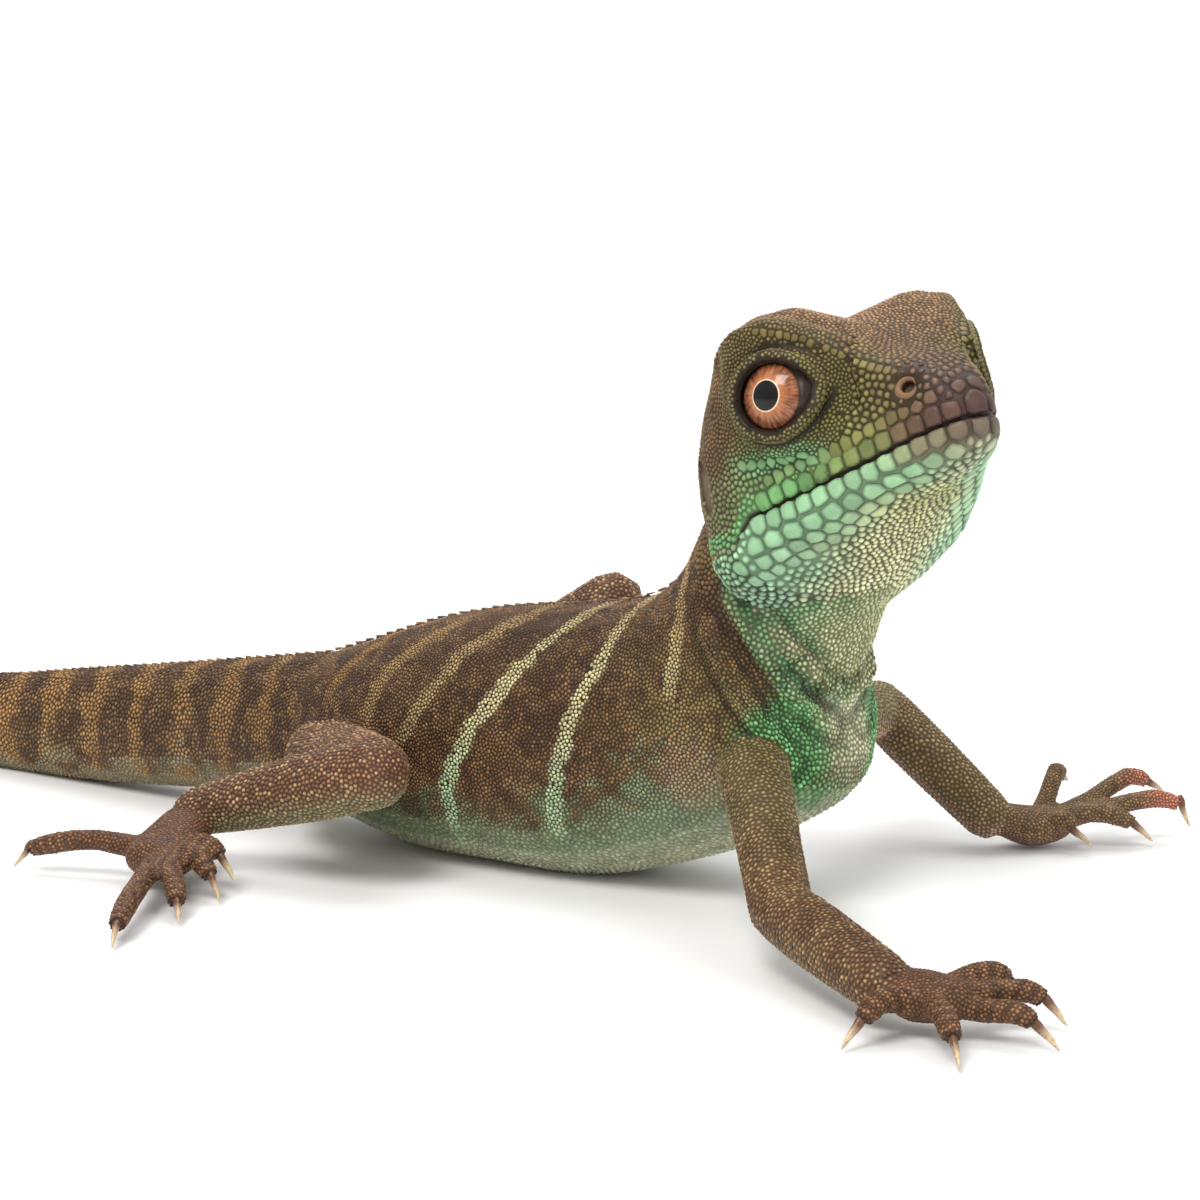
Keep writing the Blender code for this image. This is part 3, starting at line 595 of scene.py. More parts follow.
def trunk_colours(points, normals, chance, skin):
    """Mottled brown, paler and greener towards the belly, breast and armpit, with the flank's bars."""
    height = points[:, 2]
    low = noise(points, 3.0, 5)
    colour = blend(UMBER, BARK, ramp(noise(points, 1.2, 6), 0.35, 0.75))
    front = ramp(points[:, 0] + (low - 0.5) * 8, 9, 24) * ramp(34 - height, 2, 14)
    colour = blend(colour, paint(146, 128, 76), 0.85 * front * ramp(noise(points, 0.9, 18), 0.1, 0.7))
    colour = blend(colour, TAN, 0.3 * (chance > 0.88))
    fine = noise(points, 1.0, 19)
    pale = ramp(9.0 - height + (low - 0.5) * 4 + (fine - 0.5) * 8 + ramp(points[:, 0], 2, 24) * 9.5, 0, 6.5)
    pale = np.maximum(pale, ramp(-normals[:, 2], 0.25, 0.7))
    colour = blend(colour, paint(126, 146, 108), 0.8 * pale)
    low_pale = pale * ramp(7.0 - height + ramp(points[:, 0], 4, 24) * 8, 0, 5)
    colour = blend(colour, paint(136, 152, 124), 0.7 * low_pale)
    colour = blend(colour, CREAM, 0.45 * pale * ramp(-normals[:, 2], 0.5, 0.9))
    armpit = np.linalg.norm((points * (1, 0, 1) - (23.5, 0, 14.0)) / 4.5, axis=1)
    colour = blend(colour, paint(176, 140, 112), 0.6 * ramp(1.2 - armpit, 0, 0.9))
    chest = before_throat_edge(points, 1.5)
    breast = blend(paint(168, 204, 156), paint(222, 224, 186), ramp(noise(points, 1.6, 7), 0.1, 0.6))
    colour = blend(colour, breast, 0.95 * chest)
    patch = np.linalg.norm((points * (1, 0, 1) - (33.0, 0, 17.5)) / (5.2, 1, 6.0), axis=1)
    green = ramp(1.2 - patch + (low - 0.5) * 0.7, 0, 0.6) * ramp(np.abs(points[:, 1]), 2.0, 5.0)
    colour = blend(colour, blend(LEAF, paint(120, 196, 130), ramp(chance, 0.5, 1.0)), 0.9 * green)
    bars, paleness = bar_masks(points)
    bar_colour = blend(paint(168, 194, 152), paint(208, 198, 148), ramp(height, 9, 19))
    bar_colour = blend(bar_colour, OCHRE, ramp(height, 23, 31) * 0.7)
    bar_colour = blend(np.broadcast_to(OCHRE, bar_colour.shape), bar_colour, paleness)
    return fold_colours(colour if skin else blend(colour, bar_colour, bars * 0.95), points)


def neck_colours(points, normals, chance):
    """Brown behind the throat's edge; before it mint at the side, straw and cream in the middle."""
    nape = blend(paint(104, 74, 44), paint(142, 112, 62), 0.7 * ramp(noise(points, 1.5, 8), 0.3, 0.8))
    nape = blend(nape, TAN, 0.3 * (chance > 0.85))
    middle = ramp(normals[:, 0], 0.35, 0.85)
    side = blend(paint(126, 176, 122), paint(166, 198, 146), ramp(noise(points, 1.0, 9), 0.3, 0.8))
    front = blend(side, paint(196, 200, 146), middle)
    front = blend(front, paint(218, 212, 186), 0.5 * (chance > 0.8) * middle)
    colour = blend(nape, front, before_throat_edge(points, 1.1))
    edge = before_throat_edge(points, 0.8) * (1 - before_throat_edge(points - (2.4, 0, 0), 1.0))
    colour = blend(colour, paint(104, 176, 118), 0.8 * edge)
    return fold_colours(colour, points)


def fold_colours(colour, points):
    """Pale granules on the loose folds' crests and shade behind them."""
    green = before_throat_edge(points, 2.0)
    for line in NECK_FOLDS:
        gap, _ = distance_to_line(folded(points, -1), line)
        colour = blend(colour, paint(196, 200, 150), 0.6 * ramp(0.75 - gap, 0, 0.4) * green)
        colour = blend(colour, colour * 0.42, 0.8 * ramp(0.8 - np.abs(gap - 1.6), 0, 0.7))
    return colour


TAIL_START = -30.0
TAIL_PERIODS = ((0, 6.6), (60, 8.5), (160, 13.0), (300, 17.0))  # the way back, and from one ring to the next


def tail_colours(points, normals, chance):
    """Pale rings on brown, wider apart towards the tip, over a pale underside."""
    back = TAIL_START - points[:, 0]
    wander = (noise(points, 3.0, 12) - 0.5) * 2.4
    steps = np.arange(400.0)
    turns = np.interp(back, steps, np.cumsum(1 / read_off(steps, TAIL_PERIODS)))
    wave = np.sin(2 * math.pi * (turns + wander / read_off(back, TAIL_PERIODS)) + 0.8)
    rings = ramp(wave + (noise(points, 1.0, 14) - 0.5) * 1.8, -0.1, 0.7)
    rings = np.interp(back, (0, 40, 140), (0.6, 0.85, 0.9)) * rings
    under = ramp(-normals[:, 2] + (noise(points, 2, 15) - 0.5), 0.15, 0.7)
    colour = blend(UMBER, BARK, ramp(noise(points, 1.1, 13), 0.3, 0.8))
    colour = blend(colour, paint(172, 130, 76), rings)
    colour = blend(colour, paint(150, 142, 112), 0.8 * under)
    return blend(colour, TAN, 0.4 * (chance > 0.92))


def claw_gaps(points):
    """How far each point is from the nearest claw."""
    claws = [part_centre(name) for name in sorted(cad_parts) if name.startswith("claw")]
    return np.min([np.linalg.norm(points - claw, axis=1) for claw in claws], axis=0)


def limb_colours(points, normals, parts, chance):
    """Brown with paler granules; greener on the upper arms, and banded digits, two of them rosy."""
    colour = blend(paint(120, 84, 53), paint(180, 144, 98), chance)
    colour = blend(colour, paint(108, 72, 46), 0.6 * ramp(noise(points, 2.2, 17), 0.4, 0.8))
    upper = part_mask(parts, "upper_arm")
    colour = blend(colour, paint(138, 134, 84), 0.55 * upper * ramp(points[:, 2], 8, 15))
    leg = part_mask(parts, "thigh", "shank")
    granules = blend(paint(124, 86, 62), paint(184, 148, 106), ramp(chance, 0.55, 1.0))
    colour = blend(colour, granules, leg * 0.85)
    knee = np.exp(-np.linalg.norm(points * (1, 0, 1) - (-6.0, 0, 12.0), axis=1) / 4.0)
    colour = blend(colour, paint(150, 98, 68), leg * knee * 0.6)
    far = part_mask(parts, "forearm_left", "upper_arm_left", "hand_left")
    colour = blend(colour, paint(156, 138, 92), far * 0.55)
    under = ramp(-normals[:, 2], 0.0, 0.7)
    colour = blend(colour, PINK, under * 0.7 * far)
    colour = blend(colour, blend(paint(176, 146, 110), paint(168, 160, 116), leg), under * 0.7 * (1 - far))
    ends = part_mask(parts, "hand", "foot")
    plain = blend(paint(100, 62, 38), paint(124, 80, 50), chance)
    gaps = claw_gaps(points)
    bands = ramp(np.cos(gaps * 2 * math.pi / DIGIT_BAND), -0.4, 0.6)
    banded = blend(paint(82, 50, 32), paint(164, 116, 74), bands)
    plain = blend(plain, banded, 0.6 * ramp(8.0 - gaps, 0, 3))
    plain = blend(plain, paint(66, 42, 28), ramp(2.3 - gaps, 0, 0.8))
    colour = blend(colour, plain, ends * (0.9 - 0.4 * far))
    for claw in ("claw_hand_left_3", "claw_hand_left_4"):
        gap = np.linalg.norm(points - part_centre(claw), axis=1)
        rosy = ramp(6.5 - gap, 0, 4) * part_mask(parts, "hand_left")
        colour = blend(colour, paint(212, 128, 102), 0.8 * rosy)
    return colour


def ear_depth(local):
    """How far inside an ear's opening points lie: 1 in its middle, 0 on its edge, -1 off the sides."""
    share = np.linalg.norm((local[:, [0, 2]] - (EAR[0], EAR[2])) / np.array(EAR_SIZE), axis=1)
    return np.where(np.abs(local[:, 1]) > HEAD_SIDE, 1.0 - share, -1.0)


def head_colours(local, points, chance, skin):
    """The field's colours, then the rows of plates, the snout, the row under the eye, lids with painted shade
    in their crease, ears, and painted shade along the mouth's groove on the skin.
    """
    _, colour = head_field(local)
    above, beside = mouth_distance(local)
    x = local[:, 0]
    top = ramp(local[:, 2], 7.5, 11.0)
    colour = blend(colour, TAN, 0.4 * top * (chance > 0.7))
    colour = blend(colour, UMBER, 0.4 * top * (chance < 0.3))
    colour = colour * (0.86 + 0.28 * noise(points, 2.4, 21))[:, None]
    labials = blend(LABIALS[0], LABIALS[1], ramp(-x, 4.0, 9.0))
    labials = blend(labials, LABIALS[2], ramp(-x, 10.0, 17.0))
    colour = blend(colour, labials, ramp(above, 0.1, 0.5) * ramp(2.0 - above, 0, 0.4))
    below = ramp(-above, 0.1, 0.5) * ramp(3.6 + above, 0, 0.8)
    below *= ramp(-x + 4 * ramp(-above, 1.6, 2.4), 4.0, 9.0)
    colour = blend(colour, paint(158, 208, 162), 0.75 * below)
    tip = ramp(x, -4.5, -1.5) * ramp(above, -0.3, 0.3) * ramp(3.4 - above, 0, 1.2)
    tip = np.maximum(tip, 0.8 * ramp(x, -2.4, -0.8) * ramp(above, -2.2, -1.4))
    colour = blend(colour, paint(88, 62, 54), 0.85 * tip)
    row = local[:, 2] - np.interp(-x, (12, 18.9, 22.5, 25.6), (0.9, 1.0, 1.7, 2.6))
    under_eye = ramp(1.3 - np.abs(row + (noise(points, 1.0, 22) - 0.5) * 1.2), 0, 0.9)
    under_eye *= ramp(-x, 11.0, 14.0) * ramp(x, -24.5, -19.5) * (np.abs(local[:, 1]) > 7)
    colour = blend(colour, paint(128, 188, 134), 0.6 * under_eye)
    for side in (-1, 1):
        reach, distance, _ = opening_reach(local, side)
        near = (distance < LIDS_PAINTED) & (local[:, 1] * side > 0)
        colour = blend(colour, paint(112, 102, 50), 0.7 * near * ramp(3.4 - reach, 0, 1.4) * (1 - under_eye))
        ridge = ramp(0.8 - np.abs(reach - LID_RIDGE), 0.2, 0.4)
        colour = blend(colour, paint(122, 112, 64), 0.8 * near * ridge)
        # Painted shade: the crease beyond the lids' first ridge is darkened nearly to black, fading out away
        # from the eye
        crease = ramp(0.42 - np.abs(reach - LID_RIDGE - LID_FOLD / 2), 0, 0.3)
        crease *= 1 - ramp(distance, 5.5, 6.3)
        colour = blend(colour, LID_CREASE_SHADE, 0.85 * near * crease)
        colour = blend(colour, paint(62, 48, 30), near * ramp(0.1 - reach, 0, 0.15))
    colour = blend(colour, paint(122, 106, 82), ramp(ear_depth(local), -0.05, 0.2))
    # Painted shade: a dark line along the mouth's groove, on the skin only
    return blend(colour, paint(52, 32, 24), skin * beside * ramp(0.22 - np.abs(above), 0, 0.1))


def markings(points, normals, parts, chance, skin=False):
    """Each point's colour. Between the scales the skin has the painted shade of the mouth's groove and leaves
    out the flank's bars.
    """
    local = to_head(points)
    colour = trunk_colours(points, normals, chance, skin)
    for words, rule in (
        (("head",), lambda: head_colours(local, points, chance, skin)),
        (("neck",), lambda: neck_colours(points, normals, chance)),
        (("tail",), lambda: tail_colours(points, normals, chance)),
        (("upper", "fore", "hand", "thigh", "shank", "foot"),
         lambda: limb_colours(points, normals, parts, chance)),
    ):
        mask = part_mask(parts, *words)
        colour[mask] = rule()[mask]
    return np.clip(colour, 0, 1)


# Scale width over the body

PART_WIDTHS = (("neck", 0.58), ("upper_arm", 0.54), ("forearm", 0.54), ("thigh", 0.54), ("shank", 0.56),
               ("hand", 0.4), ("foot", 0.44))
TRUNK_WIDTH = 0.44
TAIL_WIDTHS = ((0, 0.52), (60, 0.64), (140, 0.74), (280, 0.6))  # the way back from the tail's root, and width
LID_WIDTHS = ((0, 0.34), (1.0, 0.38), (3.8, 0.46))  # the way out from the lids' edge, and width
SCALE_AREA = 0.78  # a scale's own area, as a share of its width squared
NOSTRIL_CLEAR = 1.35


def widths_at(points, normals, parts):
    local = to_head(points)
    width = TRUNK_WIDTH + 0.3 * ramp(-normals[:, 2], 0.2, 0.8)
    front = ramp(points[:, 0], 24, 31) * ramp(24 - points[:, 2], 0, 8)
    width += 0.12 * front * part_mask(parts, "torso")
    for word, size in PART_WIDTHS:
        width[part_mask(parts, word)] = size
    tail = part_mask(parts, "tail")
    width[tail] = read_off(TAIL_START - points[tail, 0], TAIL_WIDTHS)
    head = part_mask(parts, "head")
    width[head] = head_field(local)[0][head]
    for side in (-1, 1):
        reach, distance, _ = opening_reach(local, side)
        lid = head & (distance < LIDS_BEADED) & (local[:, 1] * side > 0) & (reach < LID_WIDTHS[-1][0])
        width[lid] = read_off(reach[lid], LID_WIDTHS)
    return width * 1.0


# The mouth line's path on the head's left side, from the middle of the snout back under the eye
LIP_PATH = ((0.6, 0.0, 0.2), (0.3, 1.1, 0.2), (-0.9, 2.6, 0.0), (-3.8, 4.2, -0.4), (-7.5, 5.9, -1.1),
            (-11.5, 7.7, -1.8), (-15.5, 9.6, -2.5), (-20.0, 11.1, -3.1), (-22.5, 11.8, -3.4),
            (-26.0, 12.4, -3.8))
# Rows of plates beside it: how far above it, spacing, width, and where along the path each starts and ends
LIP_ROWS = (
    (1.0, 1.85, 1.8, 1.5, 25.5),
    (2.5, 1.35, 1.25, 5.0, 24.5),
    (-1.0, 1.95, 1.9, 1.3, 26.0),
    (-2.8, 2.35, 2.05, 2.0, 28.5),
    (-4.5, 2.05, 1.8, 7.0, 29.5),
    (-6.0, 1.7, 1.5, 13.0, 29.5),
)
PLATE_PATHS = (
    (((-14.2, 9.2, 1.1), (-18.9, 11.1, 1.1), (-22.0, 12.1, 1.6)), 1.2, 1.15),
    (((-4.6, 4.0, 5.6), (-7.5, 5.7, 7.3), (-11.5, 9.0, 11.1), (-15.5, 11.7, 13.0)), 0.8, 0.74),
)
PLATE_SPOTS = (
    ((0.6, 0.0, 1.3), 2.5), ((0.0, 0.0, -0.9), 1.8), ((-0.6, 1.0, 2.8), 1.3), ((-2.2, 2.6, 2.6), 1.2),
)
LID_BEAD = 0.48
MOUTH_GAP = 0.07  # what each plate leaves bare beside the mouth line
MOUTH_BARE = 0.4  # how far from the mouth line no small scale has its root
CREASE_BARE = 0.12  # the same for the crease of the lids
NEAREST = 8  # how many neighbours push a seed
SPACING = 1.12  # how far apart seeds settle, as a share of their width
CROWDED, CROWDING_PLATE = 0.5, 0.9  # seeds closer than these shares to a seed or a plate are dropped
FAR = 9.0  # further than any scale reaches


def along_path(path, spacing, start=0.0, end=1e3):
    path = np.array(path)
    steps = steps_along(path)
    return places_on(path, steps, np.arange(start + spacing / 2, min(end, steps[-1]), spacing))


def walk(surface, starts, ways, distance):
    """From the starts, so far along the surface, each time keeping to it."""
    places, normals, _ = snap(surface, starts)
    steps = max(1, round(distance / 0.3))
    for _ in range(steps):
        ways = unit(ways - normals * (ways * normals).sum(axis=1, keepdims=True))
        places, normals, _ = snap(surface, places + ways * (distance / steps))
    return places


def lip_places(surface, path, rise, side):
    """Places so far above the mouth line, found from inside the head; further ones by walking on."""
    along = np.gradient(path, axis=0)
    out = unit(np.stack((along[:, 1], -along[:, 0], np.zeros(len(path))), axis=1))
    way = math.copysign(1, rise)
    starts = from_head(mirrored(path - out * 2.0 + (0, 0, way), side))
    ways = mirrored(out, side) @ HEAD_AXES.T
    hits = [surface.ray_cast(Vector(start), Vector(direction))[0] for start, direction in zip(starts, ways)]
    places = np.array([start if hit is None else hit for start, hit in zip(starts, hits)])
    if abs(rise) > 1:
        places = walk(surface, places, np.tile(HEAD_AXES[:, 2] * way, (len(path), 1)), abs(rise) - 1)
    return places


def plate_seeds(surface):
    """Roots and widths of the large plates and of the lids' beads, on both sides of the head."""
    roots, widths = [], []
    for side in (-1, 1):
        for rise, spacing, width, start, end in LIP_ROWS:
            roots.append(lip_places(surface, along_path(LIP_PATH, spacing, start, end), rise, side))
            widths.append(np.full(len(roots[-1]), width))
        for path, spacing, width in PLATE_PATHS:
            roots.append(from_head(mirrored(along_path(path, spacing), side)))
            widths.append(np.full(len(roots[-1]), width))
        for point, width in PLATE_SPOTS:
            if point[1] or side > 0:
                roots.append(from_head(mirrored([point], side)))
                widths.append(np.array([width]))
        turns = np.arange(0, 2 * math.pi, LID_BEAD / 4.0)
        flat = np.stack((np.cos(turns), np.sin(turns)), axis=1)
        flat *= ((1 + 0.45 / LID_HEIGHT) / lid_share(flat, side))[:, None]
        roots.append(from_head(eye_frame(side)[0] + from_flat(flat, side) * (EYE_RADIUS + 1.0)))
        widths.append(np.full(len(turns), LID_BEAD))
    return np.concatenate(roots), np.concatenate(widths)


def snap(surface, points):
    """The nearest places on the surface, with their normals and faces."""
    found = [surface.find_nearest(Vector(point)) for point in points]
    places = np.array([hit[0] for hit in found])
    return places, np.array([hit[1] for hit in found]), np.array([hit[2] for hit in found])


def neighbours(points, count):
    tree = KDTree(len(points))
    for index, point in enumerate(points):
        tree.insert(point, index)
    tree.balance()
    return np.array([[hit[1] for hit in tree.find_n(point, count + 1)][1:] for point in points])


def bare(points, normals, parts):
    """Where no scale grows: inside the lids, in the mouth's groove, the nostrils and the ear openings."""
    local = to_head(points)
    facing = normals @ HEAD_AXES
    head = part_mask(parts, "head")
    none = np.zeros(len(points), bool)
    above, beside = mouth_distance(local)
    none |= head & beside & (np.abs(above) < MOUTH_BARE)
    for side in (-1, 1):
        reach, distance, way = opening_reach(local, side)
        near = (distance < LIDS_PAINTED) & (local[:, 1] * side > 0)
        none |= near & (distance < EYE_RADIUS + 1.5) & ((facing * way).sum(axis=1) < 0.2)
        none |= near & (reach < 0.02)
        crease = np.abs(reach - LID_RIDGE - LID_FOLD / 2) < CREASE_BARE
        none |= near & (distance < 6.2) & crease
        none |= np.linalg.norm(local - mirrored(NOSTRIL, side), axis=1) < NOSTRIL_CLEAR
    return none | (head & (ear_depth(local) > 0))


def scatter(points, triangles):
    """Seeds for the small scales, spread at the width that each place asks for."""
    corners = points[triangles]
    crosses = np.cross(corners[:, 1] - corners[:, 0], corners[:, 2] - corners[:, 0])
    areas = np.linalg.norm(crosses, axis=1) / 2
    centres = corners.mean(axis=1)
    parts = parts_at(centres)
    width = widths_at(centres, unit(crosses), parts)
    share = areas / (SCALE_AREA * width**2)
    share[bare(centres, unit(crosses), parts)] = 0
    count = int(share.sum())
    chosen = CHANCE.choice(len(share), count, p=share / share.sum())
    a, b = CHANCE.random((2, count))
    flip = a + b > 1
    a[flip], b[flip] = 1 - a[flip], 1 - b[flip]
    tri = corners[chosen]
    return tri[:, 0] + a[:, None] * (tri[:, 1] - tri[:, 0]) + b[:, None] * (tri[:, 2] - tri[:, 0])


def settle_seeds(surface, plates, plate_widths, seeds, rounds):
    """Small seeds push each other apart until they lie evenly, and keep clear of the plates."""
    fixed = len(plates)
    points = np.concatenate((plates, seeds))
    for turn in range(rounds):
        places, normals, _ = snap(surface, points)
        parts = parts_at(places)
        width = widths_at(places, normals, parts)
        width[:fixed] = plate_widths
        near = neighbours(places, NEAREST)
        gaps = places[:, None] - places[near]
        lengths = np.maximum(np.linalg.norm(gaps, axis=2), 1e-4)
        wanted = (width[:, None] + width[near]) / 2
        push = np.clip(1 - lengths / (wanted * SPACING), 0, 1)
        moves = (gaps / lengths[..., None] * (push * wanted)[..., None]).sum(axis=1) * 0.55
        longest = np.linalg.norm(moves, axis=1, keepdims=True)
        moves *= np.minimum(1, 0.5 * width[:, None] / np.maximum(longest, 1e-6))
        moves[:fixed] = 0
        points = places + moves
        if turn in (1, rounds - 1):
            crowded = (lengths < wanted * CROWDED)[:, :3].any(axis=1) & (near[:, 0] < np.arange(len(points)))
            crowded |= ((near < fixed) & (lengths < wanted * CROWDING_PLATE)).any(axis=1)
            crowded[:fixed] = False
            points = points[~crowded]
    places, normals, faces = snap(surface, points)
    parts = parts_at(places)
    width = widths_at(places, normals, parts)
    width[:fixed] = plate_widths
    keep = ~bare(places, normals, parts)
    keep[:fixed] = True
    large = np.arange(len(places)) < fixed
    return places[keep], normals[keep], faces[keep], parts[keep], width[keep], large[keep]


def scale_faces(sides, rings):
    """Triangles of one scale, seen from above, with its flat underside last."""
    faces = []
    for ring in range(rings - 2):
        for k in range(sides):
            n = (k + 1) % sides
            a, b = ring * sides + k, ring * sides + n
            faces += [(a, b, b + sides), (a, b + sides, a + sides)]
    last, top = (rings - 2) * sides, (rings - 1) * sides
    faces += [(last + k, last + (k + 1) % sides, top) for k in range(sides)]
    under = [(0, k + 1, k) for k in range(1, sides - 1)]
    flats = np.array([False] * len(faces) + [True] * len(under))
    return np.array(faces + under), flats


def make_mesh(name, points, triangles, flats, patch, colours, rim, chance):
    data = bpy.data.meshes.new(name)
    data.vertices.add(len(points))
    points[:, 2] = np.maximum(points[:, 2], 0)
    data.vertices.foreach_set("co", (points * MM).ravel())
    data.loops.add(triangles.size)
    data.loops.foreach_set("vertex_index", triangles.ravel().astype(np.int32))
    data.polygons.add(len(triangles))
    data.polygons.foreach_set("loop_start", np.arange(0, triangles.size, 3, dtype=np.int32))
    data.polygons.foreach_set("use_smooth", ~flats)
    data.update(calc_edges=True)
    uv = data.uv_layers.new(name="OFBake")
    uv.data.foreach_set("uv", patch[triangles.ravel()].ravel())
    set_attributes(data, colours, rim, chance)
    return add_object(name, data)


def set_attributes(data, colours, rim, chance):
    opaque = np.concatenate((colours, np.ones((len(colours), 1))), axis=1)
    add_values(data, "marking", "FLOAT_COLOR", "color", opaque)
    add_values(data, "rim", "FLOAT", "value", rim)
    add_values(data, "chance", "FLOAT", "value", chance)


# Materials

def link(tree, source, target):
    tree.links.new(source, target)


def math_node(tree, operation, *values):
    node = tree.nodes.new("ShaderNodeMath")
    node.operation = operation
    for k, value in enumerate(values):
        if isinstance(value, (int, float)):
            node.inputs[k].default_value = value
        else:
            link(tree, value, node.inputs[k])
    return node.outputs[0]


def map_node(tree, value, low, high, to_low, to_high):
    node = tree.nodes.new("ShaderNodeMapRange")
    link(tree, value, node.inputs["Value"])
    for name, number in (("From Min", low), ("From Max", high), ("To Min", to_low), ("To Max", to_high)):
        node.inputs[name].default_value = number
    return node.outputs["Result"]


def noise_node(tree, scale, detail=2.0, coordinates=None):
    """Noise over the object, or over other coordinates that are given."""
    node = tree.nodes.new("ShaderNodeTexNoise")
    node.inputs["Scale"].default_value = scale
    node.inputs["Detail"].default_value = detail
    if coordinates is None:
        coordinates = tree.nodes.new("ShaderNodeTexCoord").outputs["Object"]
    link(tree, coordinates, node.inputs["Vector"])
    return node.outputs["Fac"]


def ring_node(tree, angle, middle, near, far, strength):
    """A mask that is strong near an angle from the gaze and nothing far from it."""
    gap = math_node(tree, "ABSOLUTE", math_node(tree, "SUBTRACT", angle, middle))
    return map_node(tree, gap, near, far, strength, 0.0)


def mix_colour(tree, factor, first, second):
    node = tree.nodes.new("ShaderNodeMix")
    node.data_type = "RGBA"
    pairs = ((node.inputs["Factor"], factor), (node.inputs[6], first), (node.inputs[7], second))
    for target, value in pairs:
        if isinstance(value, (int, float)):
            target.default_value = value
        elif isinstance(value, (tuple, list, np.ndarray)):
            target.default_value = (*value, 1.0)
        else:
            link(tree, value, target)
    return node.outputs[2]


def horn_skin_group():
    """Colour, roughness and fine relief of scaled skin, from its marking and its place on the scale, which
    darkens it towards the rim as painted shade.
    """
    tree = bpy.data.node_groups.new("scaled_skin", "ShaderNodeTree")
    for name, kind, way in (
        ("Marking", "Color", "INPUT"), ("Rim", "Float", "INPUT"), ("Chance", "Float", "INPUT"),
        ("Rim Shade", "Float", "INPUT"), ("Colour", "Color", "OUTPUT"), ("Roughness", "Float", "OUTPUT"),
        ("Height", "Float", "OUTPUT"),
    ):
        tree.interface.new_socket(name=name, in_out=way, socket_type="NodeSocket" + kind)
    given = tree.nodes.new("NodeGroupInput")
    result = tree.nodes.new("NodeGroupOutput")
    mottle = noise_node(tree, 1 / (1.6 * MM))
    grain = noise_node(tree, 1 / (0.16 * MM), 3.0)
    tone = map_node(tree, given.outputs["Chance"], 0.0, 1.0, 0.82, 1.3)
    tone = math_node(tree, "MULTIPLY", tone, map_node(tree, mottle, 0.3, 0.7, 0.88, 1.12))
    tone = math_node(tree, "MULTIPLY", tone, map_node(tree, grain, 0.2, 0.8, 0.9, 1.1))
    # Painted shade: the colour darkens towards each scale's rim and down into the gaps, by the Rim Shade share
    edge = map_node(tree, given.outputs["Rim"], 0.3, 1.0, 0.0, 1.0)
    edge = math_node(tree, "MULTIPLY", edge, given.outputs["Rim Shade"])
    tone = math_node(tree, "MULTIPLY", tone, math_node(tree, "SUBTRACT", 1.0, edge))
    scaled = tree.nodes.new("ShaderNodeVectorMath")
    scaled.operation = "SCALE"
    link(tree, given.outputs["Marking"], scaled.inputs[0])
    link(tree, tone, scaled.inputs["Scale"])
    link(tree, scaled.outputs[0], result.inputs["Colour"])
    rough = map_node(tree, grain, 0.2, 0.8, 0.38, 0.56)
    link(tree, rough, result.inputs["Roughness"])
    link(tree, grain, result.inputs["Height"])
    return tree


def attribute(tree, name, output):
    node = tree.nodes.new("ShaderNodeAttribute")
    node.attribute_name = name
    return node.outputs[output]


def new_material(name):
    made = bpy.data.materials.new(name)
    made.use_nodes = True
    return made, made.node_tree, made.node_tree.nodes["Principled BSDF"]


def skin_material(name, group, rim_shade, relief_mm, gloss):
    made, tree, shader = new_material(name)
    node = tree.nodes.new("ShaderNodeGroup")
    node.node_tree = group
    link(tree, attribute(tree, "marking", "Color"), node.inputs["Marking"])
    link(tree, attribute(tree, "rim", "Fac"), node.inputs["Rim"])
    link(tree, attribute(tree, "chance", "Fac"), node.inputs["Chance"])
    node.inputs["Rim Shade"].default_value = rim_shade
    link(tree, node.outputs["Colour"], shader.inputs["Base Color"])
    link(tree, node.outputs["Roughness"], shader.inputs["Roughness"])
    bump = tree.nodes.new("ShaderNodeBump")
    bump.inputs["Strength"].default_value = 0.35
    bump.inputs["Distance"].default_value = relief_mm * MM
    link(tree, node.outputs["Height"], bump.inputs["Height"])
    link(tree, bump.outputs["Normal"], shader.inputs["Normal"])
    shader.inputs["Specular IOR Level"].default_value = gloss
    return made


PUPIL_RING, IRIS_EDGE = 0.31, 0.74  # angles from the gaze, in radians


def eye_material():
    """Iris, pupil and their rings, drawn from each point's angle to the gaze."""
    made, tree, shader = new_material("eye")
    angle = attribute(tree, "from_gaze", "Fac")
    streak = noise_node(tree, 9.0, 4.0, attribute(tree, "iris_rays", "Vector"))
    blotch = noise_node(tree, 1 / (0.5 * MM), 4.0)
    streak = map_node(tree, streak, 0.35, 0.68, 0.0, 1.0)
    iris = mix_colour(tree, streak, paint(104, 56, 38), paint(180, 118, 82))
    iris = mix_colour(tree, map_node(tree, blotch, 0.45, 0.7, 0.0, 0.45), iris, paint(90, 34, 20))
    inner = map_node(tree, angle, 0.38, 0.52, 0.35, 0.0)
    iris = mix_colour(tree, inner, iris, paint(214, 140, 84))
    limbus = map_node(tree, angle, 0.69, 0.77, 0.0, 1.0)
    white = mix_colour(tree, blotch, paint(52, 40, 34), paint(96, 84, 74))
    colour = mix_colour(tree, limbus, iris, white)
    colour = mix_colour(tree, ring_node(tree, angle, IRIS_EDGE, 0.0, 0.06, 0.8), colour, paint(24, 18, 16))
    ring = ring_node(tree, angle, PUPIL_RING, 0.01, 0.024, 1.0)
    colour = mix_colour(tree, ring, colour, paint(226, 200, 168))
    pupil = map_node(tree, angle, 0.29, 0.305, 1.0, 0.0)
    colour = mix_colour(tree, pupil, colour, paint(6, 5, 6))
    link(tree, colour, shader.inputs["Base Color"])
    shader.inputs["Roughness"].default_value = 0.22
    shader.inputs["Specular IOR Level"].default_value = 0.15
    shader.inputs["Coat Weight"].default_value = 0.7
    shader.inputs["Coat IOR"].default_value = 1.4
    shader.inputs["Coat Roughness"].default_value = 0.03
    return made


